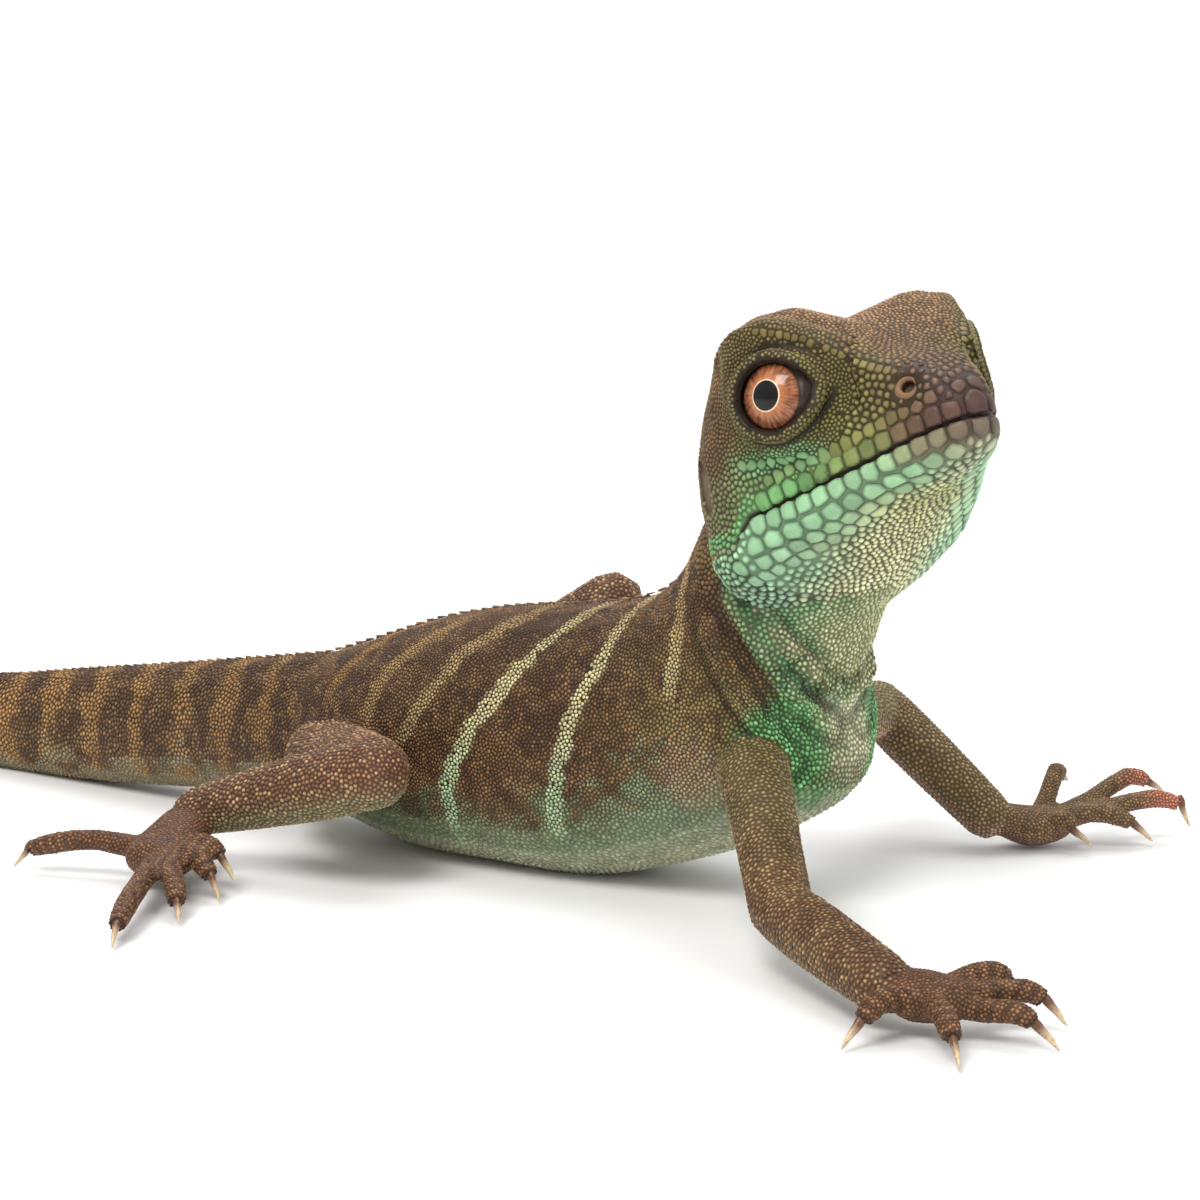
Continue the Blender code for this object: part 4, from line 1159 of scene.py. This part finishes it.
def claw_material():
    made, tree, shader = new_material("claw_horn")
    along = map_node(tree, attribute(tree, "along", "Fac"), 0.3, 0.65, 0.0, 1.0)
    streak = noise_node(tree, 1 / (0.3 * MM), 3.0)
    colour = mix_colour(tree, along, paint(96, 60, 38), paint(206, 182, 146))
    colour = mix_colour(tree, map_node(tree, streak, 0.45, 0.7, 0.0, 0.5), colour, paint(98, 66, 44))
    link(tree, colour, shader.inputs["Base Color"])
    link(tree, map_node(tree, streak, 0.2, 0.8, 0.2, 0.4), shader.inputs["Roughness"])
    return made


def floor_material():
    made, tree, shader = new_material("floor")
    cloud = noise_node(tree, 1 / (60.0 * MM))
    colour = mix_colour(tree, cloud, (0.80, 0.80, 0.80), (0.83, 0.83, 0.825))
    link(tree, colour, shader.inputs["Base Color"])
    link(tree, map_node(tree, cloud, 0.3, 0.7, 0.55, 0.65), shader.inputs["Roughness"])
    return made


# Eyes, nostrils, crest and claws

CORNEA_RISE, CORNEA_SPREAD = 0.22, 0.5


def build_eye(side, name, material):
    """A full eyeball with a raised cornea; the lids leave its front bare."""
    gaze = unit(HEAD_AXES @ mirrored(GAZE, side))
    centre = from_head(mirrored(EYE_CENTRE, side))
    bpy.ops.object.select_all(action="DESELECT")
    bpy.ops.mesh.primitive_uv_sphere_add(segments=72, ring_count=54, radius=EYE_RADIUS * MM)
    eye = bpy.context.active_object
    eye.name = name
    points = mesh_points(eye)
    turn = np.arccos(np.clip(points[:, 2] / EYE_RADIUS, -1, 1))
    swell = CORNEA_RISE * np.exp(-(turn / CORNEA_SPREAD) ** 2)
    points *= (1 + swell / EYE_RADIUS)[:, None]
    spin = np.array(Vector(gaze).to_track_quat("Z", "Y").to_matrix())
    tall = np.stack((points[:, 0] * 1.02, points[:, 1] * 0.96), axis=1)
    oval_turn = np.arctan2(np.linalg.norm(tall, axis=1), points[:, 2])
    set_points(eye, points @ spin.T + centre)
    around = unit(points * (1, 1, 0))
    around[:, 2] = turn * 0.35
    add_values(eye.data, "from_gaze", "FLOAT", "value", oval_turn)
    add_values(eye.data, "iris_rays", "FLOAT_VECTOR", "vector", around)
    eye.data.materials.append(material)
    eye.data.shade_smooth()
    return eye


def sweep(name, centres, radii, sides, squeeze):
    """A tapered horn along a path, closed at both ends; radii end near nothing."""
    centres = np.array(centres)
    ways = unit(np.gradient(centres, axis=0))
    side = unit(np.cross((0, 0, 1), ways[0]))
    made = bmesh.new()
    rows = []
    for centre, way, radius in zip(centres, ways, radii):
        side = unit(side - way * (side @ way))
        up = np.cross(way, side)
        ring = []
        for k in range(sides):
            turn = 2 * math.pi * k / sides
            point = centre + side * math.cos(turn) * radius * squeeze + up * math.sin(turn) * radius
            ring.append(made.verts.new(Vector(point) * MM))
        rows.append(ring)
    for a, b in zip(rows, rows[1:]):
        for k in range(sides):
            made.faces.new((a[k], a[(k + 1) % sides], b[(k + 1) % sides], b[k]))
    made.faces.new(rows[0])
    made.faces.new(rows[-1])
    bmesh.ops.recalc_face_normals(made, faces=made.faces)
    data = bpy.data.meshes.new(name)
    made.to_mesh(data)
    made.free()
    data.shade_smooth()
    return add_object(name, data)


CLAW_CUTS, CLAW_RINGS, CLAW_SIDES = 7, 14, 12
CLAW_ROOT = 0.9  # how far each claw goes on inside its digit
CLAW_SQUEEZE = 0.8  # a claw's width as a share of its height


def build_claw(node, material):
    """A smooth curved horn along the solid claw, its narrow root inside the digit."""
    corners = np.array([vertex.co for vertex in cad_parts[node].data.vertices]) / MM
    corners = np.unique(np.round(corners, 3), axis=0)
    middle = corners.mean(axis=0)
    axis = np.linalg.svd(corners - middle)[2][0]
    if (part_centre("_".join(node.split("_")[1:3])) - middle) @ axis > 0:
        axis = -axis
    along = (corners - middle) @ axis
    near = max(6, len(corners) // CLAW_CUTS)
    cuts = np.linspace(along.min(), along.max(), CLAW_CUTS)[:-1]
    slices = [np.argsort(np.abs(along - cut))[:near] for cut in cuts]
    centres = [corners[chosen].mean(axis=0) for chosen in slices]
    root = corners[slices[0]] - centres[0]
    radius = np.linalg.norm(root - (root @ axis)[:, None] * axis, axis=1).mean()
    centres = np.array([centres[0] - axis * CLAW_ROOT] + centres + [corners[along.argmax()]])
    steps = steps_along(centres)
    stops = np.linspace(0, steps[-1], CLAW_RINGS)
    path = places_on(centres, steps, stops)
    soften(path, 6)
    share = stops / steps[-1]
    width = radius * np.minimum(1, 0.45 + share * 3) * np.maximum(1.02 - share, 0.0) ** 0.6
    claw = sweep(node + "_horn", path, width, CLAW_SIDES, CLAW_SQUEEZE)
    add_values(claw.data, "along", "FLOAT", "value", np.repeat(share, CLAW_SIDES))
    claw.data.materials.append(material)
    return claw


def ridge_line(points, parts):
    """The middle line of nape, back and tail: the skin's highest place at each step along it."""
    trunk = part_mask(parts, "torso", "neck", "tail")
    body = points[trunk]
    line = []
    for x in np.arange(25.0, -225.0, -1.0):
        slab = body[np.abs(body[:, 0] - x) < 0.6]
        if len(slab):
            top = slab[np.argsort(slab[:, 2])[-3:]].mean(axis=0)
            line.append((x, top[1], slab[:, 2].max()))
    line = np.array(line)
    soften(line[:, 1:], 4)
    return line


CREST_STEP = 1.55
CREST_HEIGHTS = ((-225, 0.08), (-110, 0.2), (-31, 0.25), (10, 0.16), (25, 0.26))  # x, and a spine's height
SPINE_SIDES = 6
# Each ring of a spine: its size, its height and how far back it leans, as shares
SPINE_RINGS = ((1.0, -0.5, 0.0), (0.86, 0.1, 0.12), (0.5, 0.55, 0.42))


def build_crest(points, parts, material):
    """Fine leaning spines along the ridge: tallest on the nape, lowest down the tail."""
    line = ridge_line(points, parts)
    steps = steps_along(line)
    faces, under = scale_faces(SPINE_SIDES, len(SPINE_RINGS) + 1)
    each = SPINE_SIDES * len(SPINE_RINGS) + 1
    places, colours, draws = [], [], []
    for stop in np.arange(0.8, steps[-1] - 1, CREST_STEP):
        foot = places_on(line, steps, stop)
        back = unit(foot - places_on(line, steps, stop - 0.8))
        side = unit(np.cross(back, (0, 0, 1)))
        up = np.cross(side, back)
        draw = CHANCE.random()
        height = read_off(foot[0], CREST_HEIGHTS) * (0.8 + 0.4 * draw)
        half = 0.58 + 0.3 * height
        thick = 0.26 + 0.08 * height
        for share, rise, slip in SPINE_RINGS:
            for k in range(SPINE_SIDES):
                turn = 2 * math.pi * k / SPINE_SIDES
                places.append(foot + back * (half * share * math.cos(turn) + slip * half)
                              - side * thick * share * math.sin(turn) + up * (rise * height))
        places.append(foot + back * half * 1.05 + up * height)
        colours.append(blend(UMBER, TAN, 0.6 * ramp(noise(foot[None], 2.0, 31), 0.3, 0.7))[0])
        draws.append(draw)
    places = np.array(places)
    count = len(draws)
    triangles = np.concatenate([faces + spine * each for spine in range(count)])
    # Rim values darken each spine towards its foot as painted shade, through the scales' material
    rim = np.append(np.repeat((1.0, 0.6, 0.3), SPINE_SIDES), 0.0)
    along = 0.02 + 0.96 * (places[:, 0] - places[:, 0].min()) / 260
    patch = np.stack((along, 0.01 + places[:, 2] * 0.0005), axis=1)
    crest = make_mesh("crest", places, triangles, np.tile(under, count), patch,
                      np.repeat(colours, each, axis=0), np.tile(rim, count), np.repeat(draws, each))
    crest.data.materials.append(material)
    return crest


# The nostril's rings from its foot over its rim and into its hole: radius and height
NOSTRIL_RINGS = ((1.42, -0.5), (1.36, 0.08), (1.14, 0.3), (0.9, 0.36), (0.68, 0.26), (0.56, -0.05),
                 (0.5, -0.9))
NOSTRIL_SIDES = 24


def nostril_seats(surface):
    """Where each nostril sits on the skin, and the way it faces."""
    seats = []
    for side in (-1, 1):
        centre = from_head(mirrored(NOSTRIL, side))
        out = unit(HEAD_AXES @ mirrored(NOSTRIL_OUT, side))
        hit = surface.ray_cast(Vector(centre + out * 4), Vector(-out))[0]
        seats.append((np.array(hit), out))
    return seats


def build_nostrils(seats, material):
    """A round swollen scale with the nostril's hole in its middle, on each side."""
    made = []
    faces, under = scale_faces(NOSTRIL_SIDES, len(NOSTRIL_RINGS) + 1)
    turns = np.arange(NOSTRIL_SIDES) * 2 * math.pi / NOSTRIL_SIDES
    for (centre, out), name in zip(seats, ("nostril_right", "nostril_left")):
        across = unit(np.cross(HEAD_AXES[:, 2], out))
        up = np.cross(out, across)
        round_way = across[None] * np.cos(turns)[:, None] * 1.06 + up[None] * np.sin(turns)[:, None] * 0.94
        points = [centre + out * rise + round_way * reach for reach, rise in NOSTRIL_RINGS]
        points = np.concatenate(points + [[centre - out * 1.05]])
        depth = np.append(np.repeat([reach for reach, _ in NOSTRIL_RINGS], NOSTRIL_SIDES), 0.0)
        # Painted shade: the rings down into the hole are painted nearly black
        colours = blend(paint(40, 18, 12), paint(118, 90, 60), ramp(depth, 0.54, 0.7))
        patch = 0.5 + (points - centre)[:, :2] * 0.0005
        # The rim value darkens the scale's outer foot as painted shade, through the scales' material
        piece = make_mesh(name, points, faces, under, patch, colours, ramp(depth, 1.15, 1.35),
                          np.full(len(points), 0.5))
        piece.data.materials.append(material)
        made.append(piece)
    return made


# The coat's pieces, each under the limit of faces: name, parts, and which side of the head or body
def coat_groups(places, parts, large):
    local = to_head(places)
    head = part_mask(parts, "head") & ~large
    trunk = part_mask(parts, "torso")
    right = places[:, 1] < -0.4
    return (
        ("plates_head", large, "plate"),
        ("scales_head_crown", head & (local[:, 2] >= 5.5), "bead"),
        ("scales_head_cheeks", head & (local[:, 2] < 5.5) & (local[:, 2] >= -4.0), "bead"),
        ("scales_throat", head & (local[:, 2] < -4.0), "bead"),
        ("scales_neck", part_mask(parts, "neck"), "bead"),
        ("scales_trunk_right", trunk & right, "grain"),
        ("scales_trunk_left", trunk & ~right, "grain"),
        ("scales_tail_front", part_mask(parts, "tail_base", "tail_middle"), "grain"),
        ("scales_tail_rear", part_mask(parts, "tail_rear", "tail_tip"), "grain"),
        ("scales_arm_right", part_mask(parts, "upper_arm_right", "forearm_right"), "bead"),
        ("scales_arm_left", part_mask(parts, "upper_arm_left", "forearm_left"), "bead"),
        ("scales_hands", part_mask(parts, "hand"), "low_bead"),
        ("scales_leg_right", part_mask(parts, "thigh_right", "shank_right"), "bead"),
        ("scales_leg_left", part_mask(parts, "thigh_left", "shank_left"), "bead"),
        ("scales_feet", part_mask(parts, "foot"), "low_bead"),
    )


# Each form: sides, rings as (share of the reach, height as a share of the width), gap, longest reach as a
# share of the width, and how much of the outline's corners is kept
FORMS = {
    "plate": (16, ((1.0, -0.08), (0.97, 0.03), (0.86, 0.1), (0.55, 0.14), (0.0, 0.15)), 0.035, 1.0, 0.92),
    "bead": (7, ((1.0, -0.12), (0.8, 0.1), (0.0, 0.25)), 0.08, 0.72, 0.8),
    "low_bead": (6, ((1.0, -0.12), (0.78, 0.07), (0.0, 0.17)), 0.05, 0.72, 0.85),
    "grain": (6, ((1.0, -0.03), (0.0, 0.25)), 0.0, 0.72, 0.9),
}


PATCH = 0.003  # how wide a scale's patch is on the unwrap
PLATE_TONE = 0.8  # large plates catch more light than small scales
SCALE_LEAN = 0.12  # how much a scale rises towards its free end
BESIDE_MOUTH = 1.7  # plates rooted closer than this to the mouth line keep clear of it


def root_patches(skin, faces, places):
    """Where each root lies on the skin's own unwrap."""
    uv = np.empty(len(skin.data.loops) * 2)
    skin.data.uv_layers["OFBake"].data.foreach_get("uv", uv)
    uv = uv.reshape(-1, 3, 2)[faces]
    corners = mesh_points(skin)[triangles_of(skin)][faces]
    a, b = corners[:, 1] - corners[:, 0], corners[:, 2] - corners[:, 0]
    c = places - corners[:, 0]
    aa, ab, bb = (a * a).sum(1), (a * b).sum(1), (b * b).sum(1)
    ca, cb = (c * a).sum(1), (c * b).sum(1)
    spread = np.maximum(aa * bb - ab**2, 1e-12)
    v, w = (bb * ca - ab * cb) / spread, (aa * cb - ab * ca) / spread
    return uv[:, 0] + v[:, None] * (uv[:, 1] - uv[:, 0]) + w[:, None] * (uv[:, 2] - uv[:, 0])


def dress(skin, surface, coat_material):
    """All the scales, as solid mesh over the skin."""
    plates, plate_widths = plate_seeds(surface)
    plates = snap(surface, plates)[0]
    seeds = scatter(mesh_points(skin), triangles_of(skin))
    places, normals, faces, parts, width, large = settle_seeds(
        surface, plates, plate_widths, seeds, 9)
    chance = CHANCE.random(len(places))
    colours = markings(places, normals, parts, chance)
    roots = root_patches(skin, faces, places)
    colours[large] *= PLATE_TONE
    # How strongly painted shade darkens each scale towards its rim: less on the torso and least on its bars,
    # more on the arms, less on the tail
    rim_shade_strength = np.where(part_mask(parts, "torso"), 0.62 - 0.35 * bar_masks(places)[0], 1.0)
    rim_shade_strength[part_mask(parts, "upper", "forearm")] = 1.15
    rim_shade_strength[part_mask(parts, "tail")] = 0.75
    near = neighbours(places, 10)
    made = []
    for name, mask, form in coat_groups(places, parts, large):
        rows = np.flatnonzero(mask)
        if not len(rows):
            continue
        outline = outlines_of(rows, places, normals, LIES[parts], width, near, FORMS[form])
        piece = grow_scales(name, rows, outline, places, normals, roots, width, colours, chance, rim_shade_strength,
                            FORMS[form][1], surface if form == "plate" else None)
        piece.data.materials.append(coat_material)
        made.append(piece)
        print(name, len(rows), "scales", len(piece.data.polygons), "triangles")
    return made


def grow_scales(name, rows, outline, places, normals, roots, width, colours, chance, rim_shade_strength, rings, surface):
    """Closed scales as one mesh; on a given surface each ring keeps to it, or else lies in one plane."""
    ahead, across, turns, reach = outline
    sides = len(turns)
    place, normal, wide = places[rows], normals[rows], width[rows]
    layers = []
    for share, height in rings:
        if share == 0:
            layers.append((place + normal * (height * wide)[:, None])[:, None])
            continue
        spread = reach * share
        ring = place[:, None] + (ahead[:, None] * (np.cos(turns) * spread)[..., None]
                                 + across[:, None] * (np.sin(turns) * spread)[..., None])
        if surface is None:
            lean = SCALE_LEAN * spread * np.cos(turns) * (share < 1)
            ring = ring + normal[:, None] * (height * wide[:, None] + lean)[..., None]
        else:
            shape = ring.shape
            ring = clear_of_mouth(ring, place)
            flat, out, _ = snap(surface, ring.reshape(-1, 3))
            ring = flat.reshape(shape) + out.reshape(shape) * (height * wide)[:, None, None]
        layers.append(ring)
    points = np.concatenate(layers, axis=1)
    each = points.shape[1]
    faces, under = scale_faces(sides, len(rings))
    triangles = (faces[None] + np.arange(len(rows))[:, None, None] * each).reshape(-1, 3)
    rim = np.concatenate([np.full(1 if share == 0 else sides, share) for share, _ in rings])
    rim = rim ** (1 if surface is None else 3)
    offsets = (points - place[:, None]) / wide[:, None, None]
    flat = np.stack(((offsets * ahead[:, None]).sum(axis=2), (offsets * across[:, None]).sum(axis=2)), axis=2)
    patch = (roots[rows][:, None] + flat * PATCH).reshape(-1, 2)
    rim = np.tile(rim, len(rows)) * np.repeat(rim_shade_strength[rows], each)
    return make_mesh(name, points.reshape(-1, 3), triangles, np.tile(under, len(rows)), patch,
                     np.repeat(colours[rows], each, axis=0), rim, np.repeat(chance[rows], each))


def outlines_of(rows, places, normals, lies, width, near, form):
    """Each scale's reach in its own plane: half way to its neighbours, more for the larger of two."""
    sides, _, gap, longest, corners = form
    normal, lie = normals[rows], lies[rows]
    ahead = unit(lie - normal * (lie * normal).sum(axis=1, keepdims=True) + 1e-6)
    across = np.cross(normal, ahead)
    offset = places[near[rows]] - places[rows][:, None]
    x = (offset * ahead[:, None]).sum(axis=2)
    y = (offset * across[:, None]).sum(axis=2)
    wide = width[rows][:, None]
    square = (x**2 + y**2) * wide / (wide + width[near[rows]])
    turns = np.arange(sides) * 2 * math.pi / sides
    reach = np.full((len(rows), sides), FAR)
    for k, turn in enumerate(turns):
        toward = x * math.cos(turn) + y * math.sin(turn)
        reach[:, k] = np.where(toward > 1e-4, square / np.maximum(toward, 1e-4), FAR).min(axis=1)
    reach = np.minimum(reach, longest * wide)
    least = reach.min(axis=1, keepdims=True)
    return ahead, across, turns, (least + (reach - least) * corners) * (1 - gap)


def clear_of_mouth(ring, place):
    """Keeps each plate's edge on its own side of the mouth line."""
    root_above, root_beside = mouth_distance(to_head(place))
    local = to_head(ring.reshape(-1, 3))
    above, _ = mouth_distance(local)
    sides = ring.shape[1]
    way = np.repeat(np.sign(root_above), sides)
    close = np.repeat(root_beside & (np.abs(root_above) < BESIDE_MOUTH), sides) & (local[:, 0] < 1.5)
    short = np.where(close, np.maximum(MOUTH_GAP - above * way, 0), 0)
    local[:, 2] += short * way
    return from_head(local).reshape(ring.shape)


# Stage

CAMERA_PLACE = (167.0, -230.1, 70.0)
CAMERA_WAY = (-0.575, 0.818)
CAMERA_PITCH = 8.38
CAMERA_LENS = 81.63
FLOOR_SIDES = 96
FLOOR_RINGS = ((0.4, 0.0), (1.5, 0.0), (1.9, 0.02), (2.3, 0.1), (2.6, 0.25), (2.8, 0.5), (2.85, 0.9))
ANIMAL_SPOT, BACKDROP_SPOT = (0.02, 0, 0.02), (-1.45, 2.1, 0.1)


def build_floor():
    """A round pale floor whose edge rises, so that no far edge shows."""
    turns = np.arange(FLOOR_SIDES) * 2 * math.pi / FLOOR_SIDES
    points = [(0.0, 0.0, 0.0)]
    points += [(r * math.cos(turn), r * math.sin(turn), z) for r, z in FLOOR_RINGS for turn in turns]
    after = [(k + 1) % FLOOR_SIDES for k in range(FLOOR_SIDES)]
    faces = [(0, 1 + k, 1 + n) for k, n in enumerate(after)]
    for ring in range(len(FLOOR_RINGS) - 1):
        start = 1 + ring * FLOOR_SIDES
        outer = start + FLOOR_SIDES
        faces += [(start + k, outer + k, outer + n, start + n) for k, n in enumerate(after)]
    data = bpy.data.meshes.new("floor")
    data.from_pydata(points, [], faces)
    data.shade_smooth()
    data.materials.append(floor_material())
    return add_object("floor", data)


def build_stage():
    floor = build_floor()
    world = bpy.data.worlds.new("studio")
    bpy.context.scene.world = world
    world.use_nodes = True
    world.node_tree.nodes["Background"].inputs["Color"].default_value = (1.0, 1.0, 1.0, 1.0)
    world.node_tree.nodes["Background"].inputs["Strength"].default_value = 0.7
    for name, place, size, power, colour in (
        ("key", (0.1, -0.7, 1.0), 0.5, 10.0, (1.0, 0.98, 0.95)),
        ("fill", (0.95, -0.1, 0.5), 0.7, 2.5, (0.96, 0.98, 1.0)),
        ("top", (-0.2, 0.35, 1.1), 0.8, 6.0, (1.0, 1.0, 1.0)),
        ("backdrop", (-1.0, 1.5, 1.5), 1.6, 16.0, (1.0, 1.0, 1.0)),
    ):
        data = bpy.data.lights.new(name, "AREA")
        data.size = size
        data.energy = power
        data.color = colour
        light = add_object(name, data)
        light.location = place
        target = Vector(BACKDROP_SPOT if name == "backdrop" else ANIMAL_SPOT)
        light.rotation_euler = (target - Vector(place)).to_track_quat("-Z", "Y").to_euler()
    data = bpy.data.cameras.new("camera")
    data.lens = CAMERA_LENS
    data.sensor_width = 36
    data.clip_start = 0.01
    camera = add_object("camera", data)
    pitch = math.radians(CAMERA_PITCH)
    level = Vector((CAMERA_WAY[0], CAMERA_WAY[1], 0)).normalized()
    way = level * math.cos(pitch) - Vector((0, 0, math.sin(pitch)))
    camera.location = Vector(CAMERA_PLACE) * MM
    camera.rotation_euler = way.to_track_quat("-Z", "Y").to_euler()
    bpy.context.scene.camera = camera
    bpy.context.scene.view_settings.view_transform = "Standard"


def skin_paleness(points, normals, parts):
    """How pale the skin is between its scales: under the body, on limbs, throat, jaws and ears."""
    pale = ramp(-normals[:, 2], 0.1, 0.7) * part_mask(parts, "torso", "tail")
    pale = np.maximum(pale, 0.3 * part_mask(parts, "thigh", "shank", "upper", "fore", "hand", "foot"))
    throat = 0.55 * part_mask(parts, "torso") + 0.3 * part_mask(parts, "neck")
    pale = np.maximum(pale, before_throat_edge(points, 2.0) * throat)
    local = to_head(points)
    head = part_mask(parts, "head")
    above, beside = mouth_distance(local)
    jaws = ramp(np.abs(above), 0.2, 0.5) * ramp(7.5 + above, 0, 2) * ramp(3 - above, 0, 1)
    pale = np.maximum(pale, 0.45 * (head & beside) * jaws)
    return np.maximum(pale, ramp(ear_depth(local), 0, 0.3) * head)


def colour_skin(skin, points, normals, parts):
    pale = skin_paleness(points, normals, parts)
    even = np.full(len(points), 0.5)
    colours = markings(points, normals, parts, even, True)
    # The skin between the scales is blended towards dark brown, its own colour, and darkened as painted shade
    # in the gaps; less where it is pale
    colours = blend(colours, paint(78, 54, 36), 0.5 * (1 - pale)) * (0.26 + 0.5 * pale)[:, None]
    set_attributes(skin.data, colours, np.zeros(len(points)), even)


def build_all():
    group = horn_skin_group()
    coat_material = skin_material("scales", group, 0.68, 0.02, 0.35)
    hide_material = skin_material("skin", group, 0.0, 0.05, 0.25)
    skin = build_skin()
    points, normals = mesh_points(skin), mesh_normals(skin)
    seats = nostril_seats(searchable(skin))
    set_points(skin, shape_skin(points, normals, parts_at(points), seats))
    unwrap(skin)
    points, normals = mesh_points(skin), mesh_normals(skin)
    parts = parts_at(points)
    surface = searchable(skin)
    colour_skin(skin, points, normals, parts)
    skin.data.materials.append(hide_material)
    skin.data.shade_smooth()
    print("skin", len(skin.data.polygons), "triangles")
    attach(skin, "root")
    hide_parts(*FLESH)
    for piece in dress(skin, surface, coat_material):
        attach(piece, "root")
    crest = build_crest(points, parts, coat_material)
    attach(crest, "root")
    for rim in build_nostrils(seats, coat_material):
        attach(rim, "root")
    iris = eye_material()
    for side, name in ((-1, "right"), (1, "left")):
        eye = build_eye(side, f"eyeball_{name}", iris)
        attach(eye, "root")
        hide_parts(f"eye_{name}")
    horn = claw_material()
    for node in sorted(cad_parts):
        if node.startswith("claw"):
            claw = build_claw(node, horn)
            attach(claw, "root")
            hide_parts(node)


build_stage()
build_all()
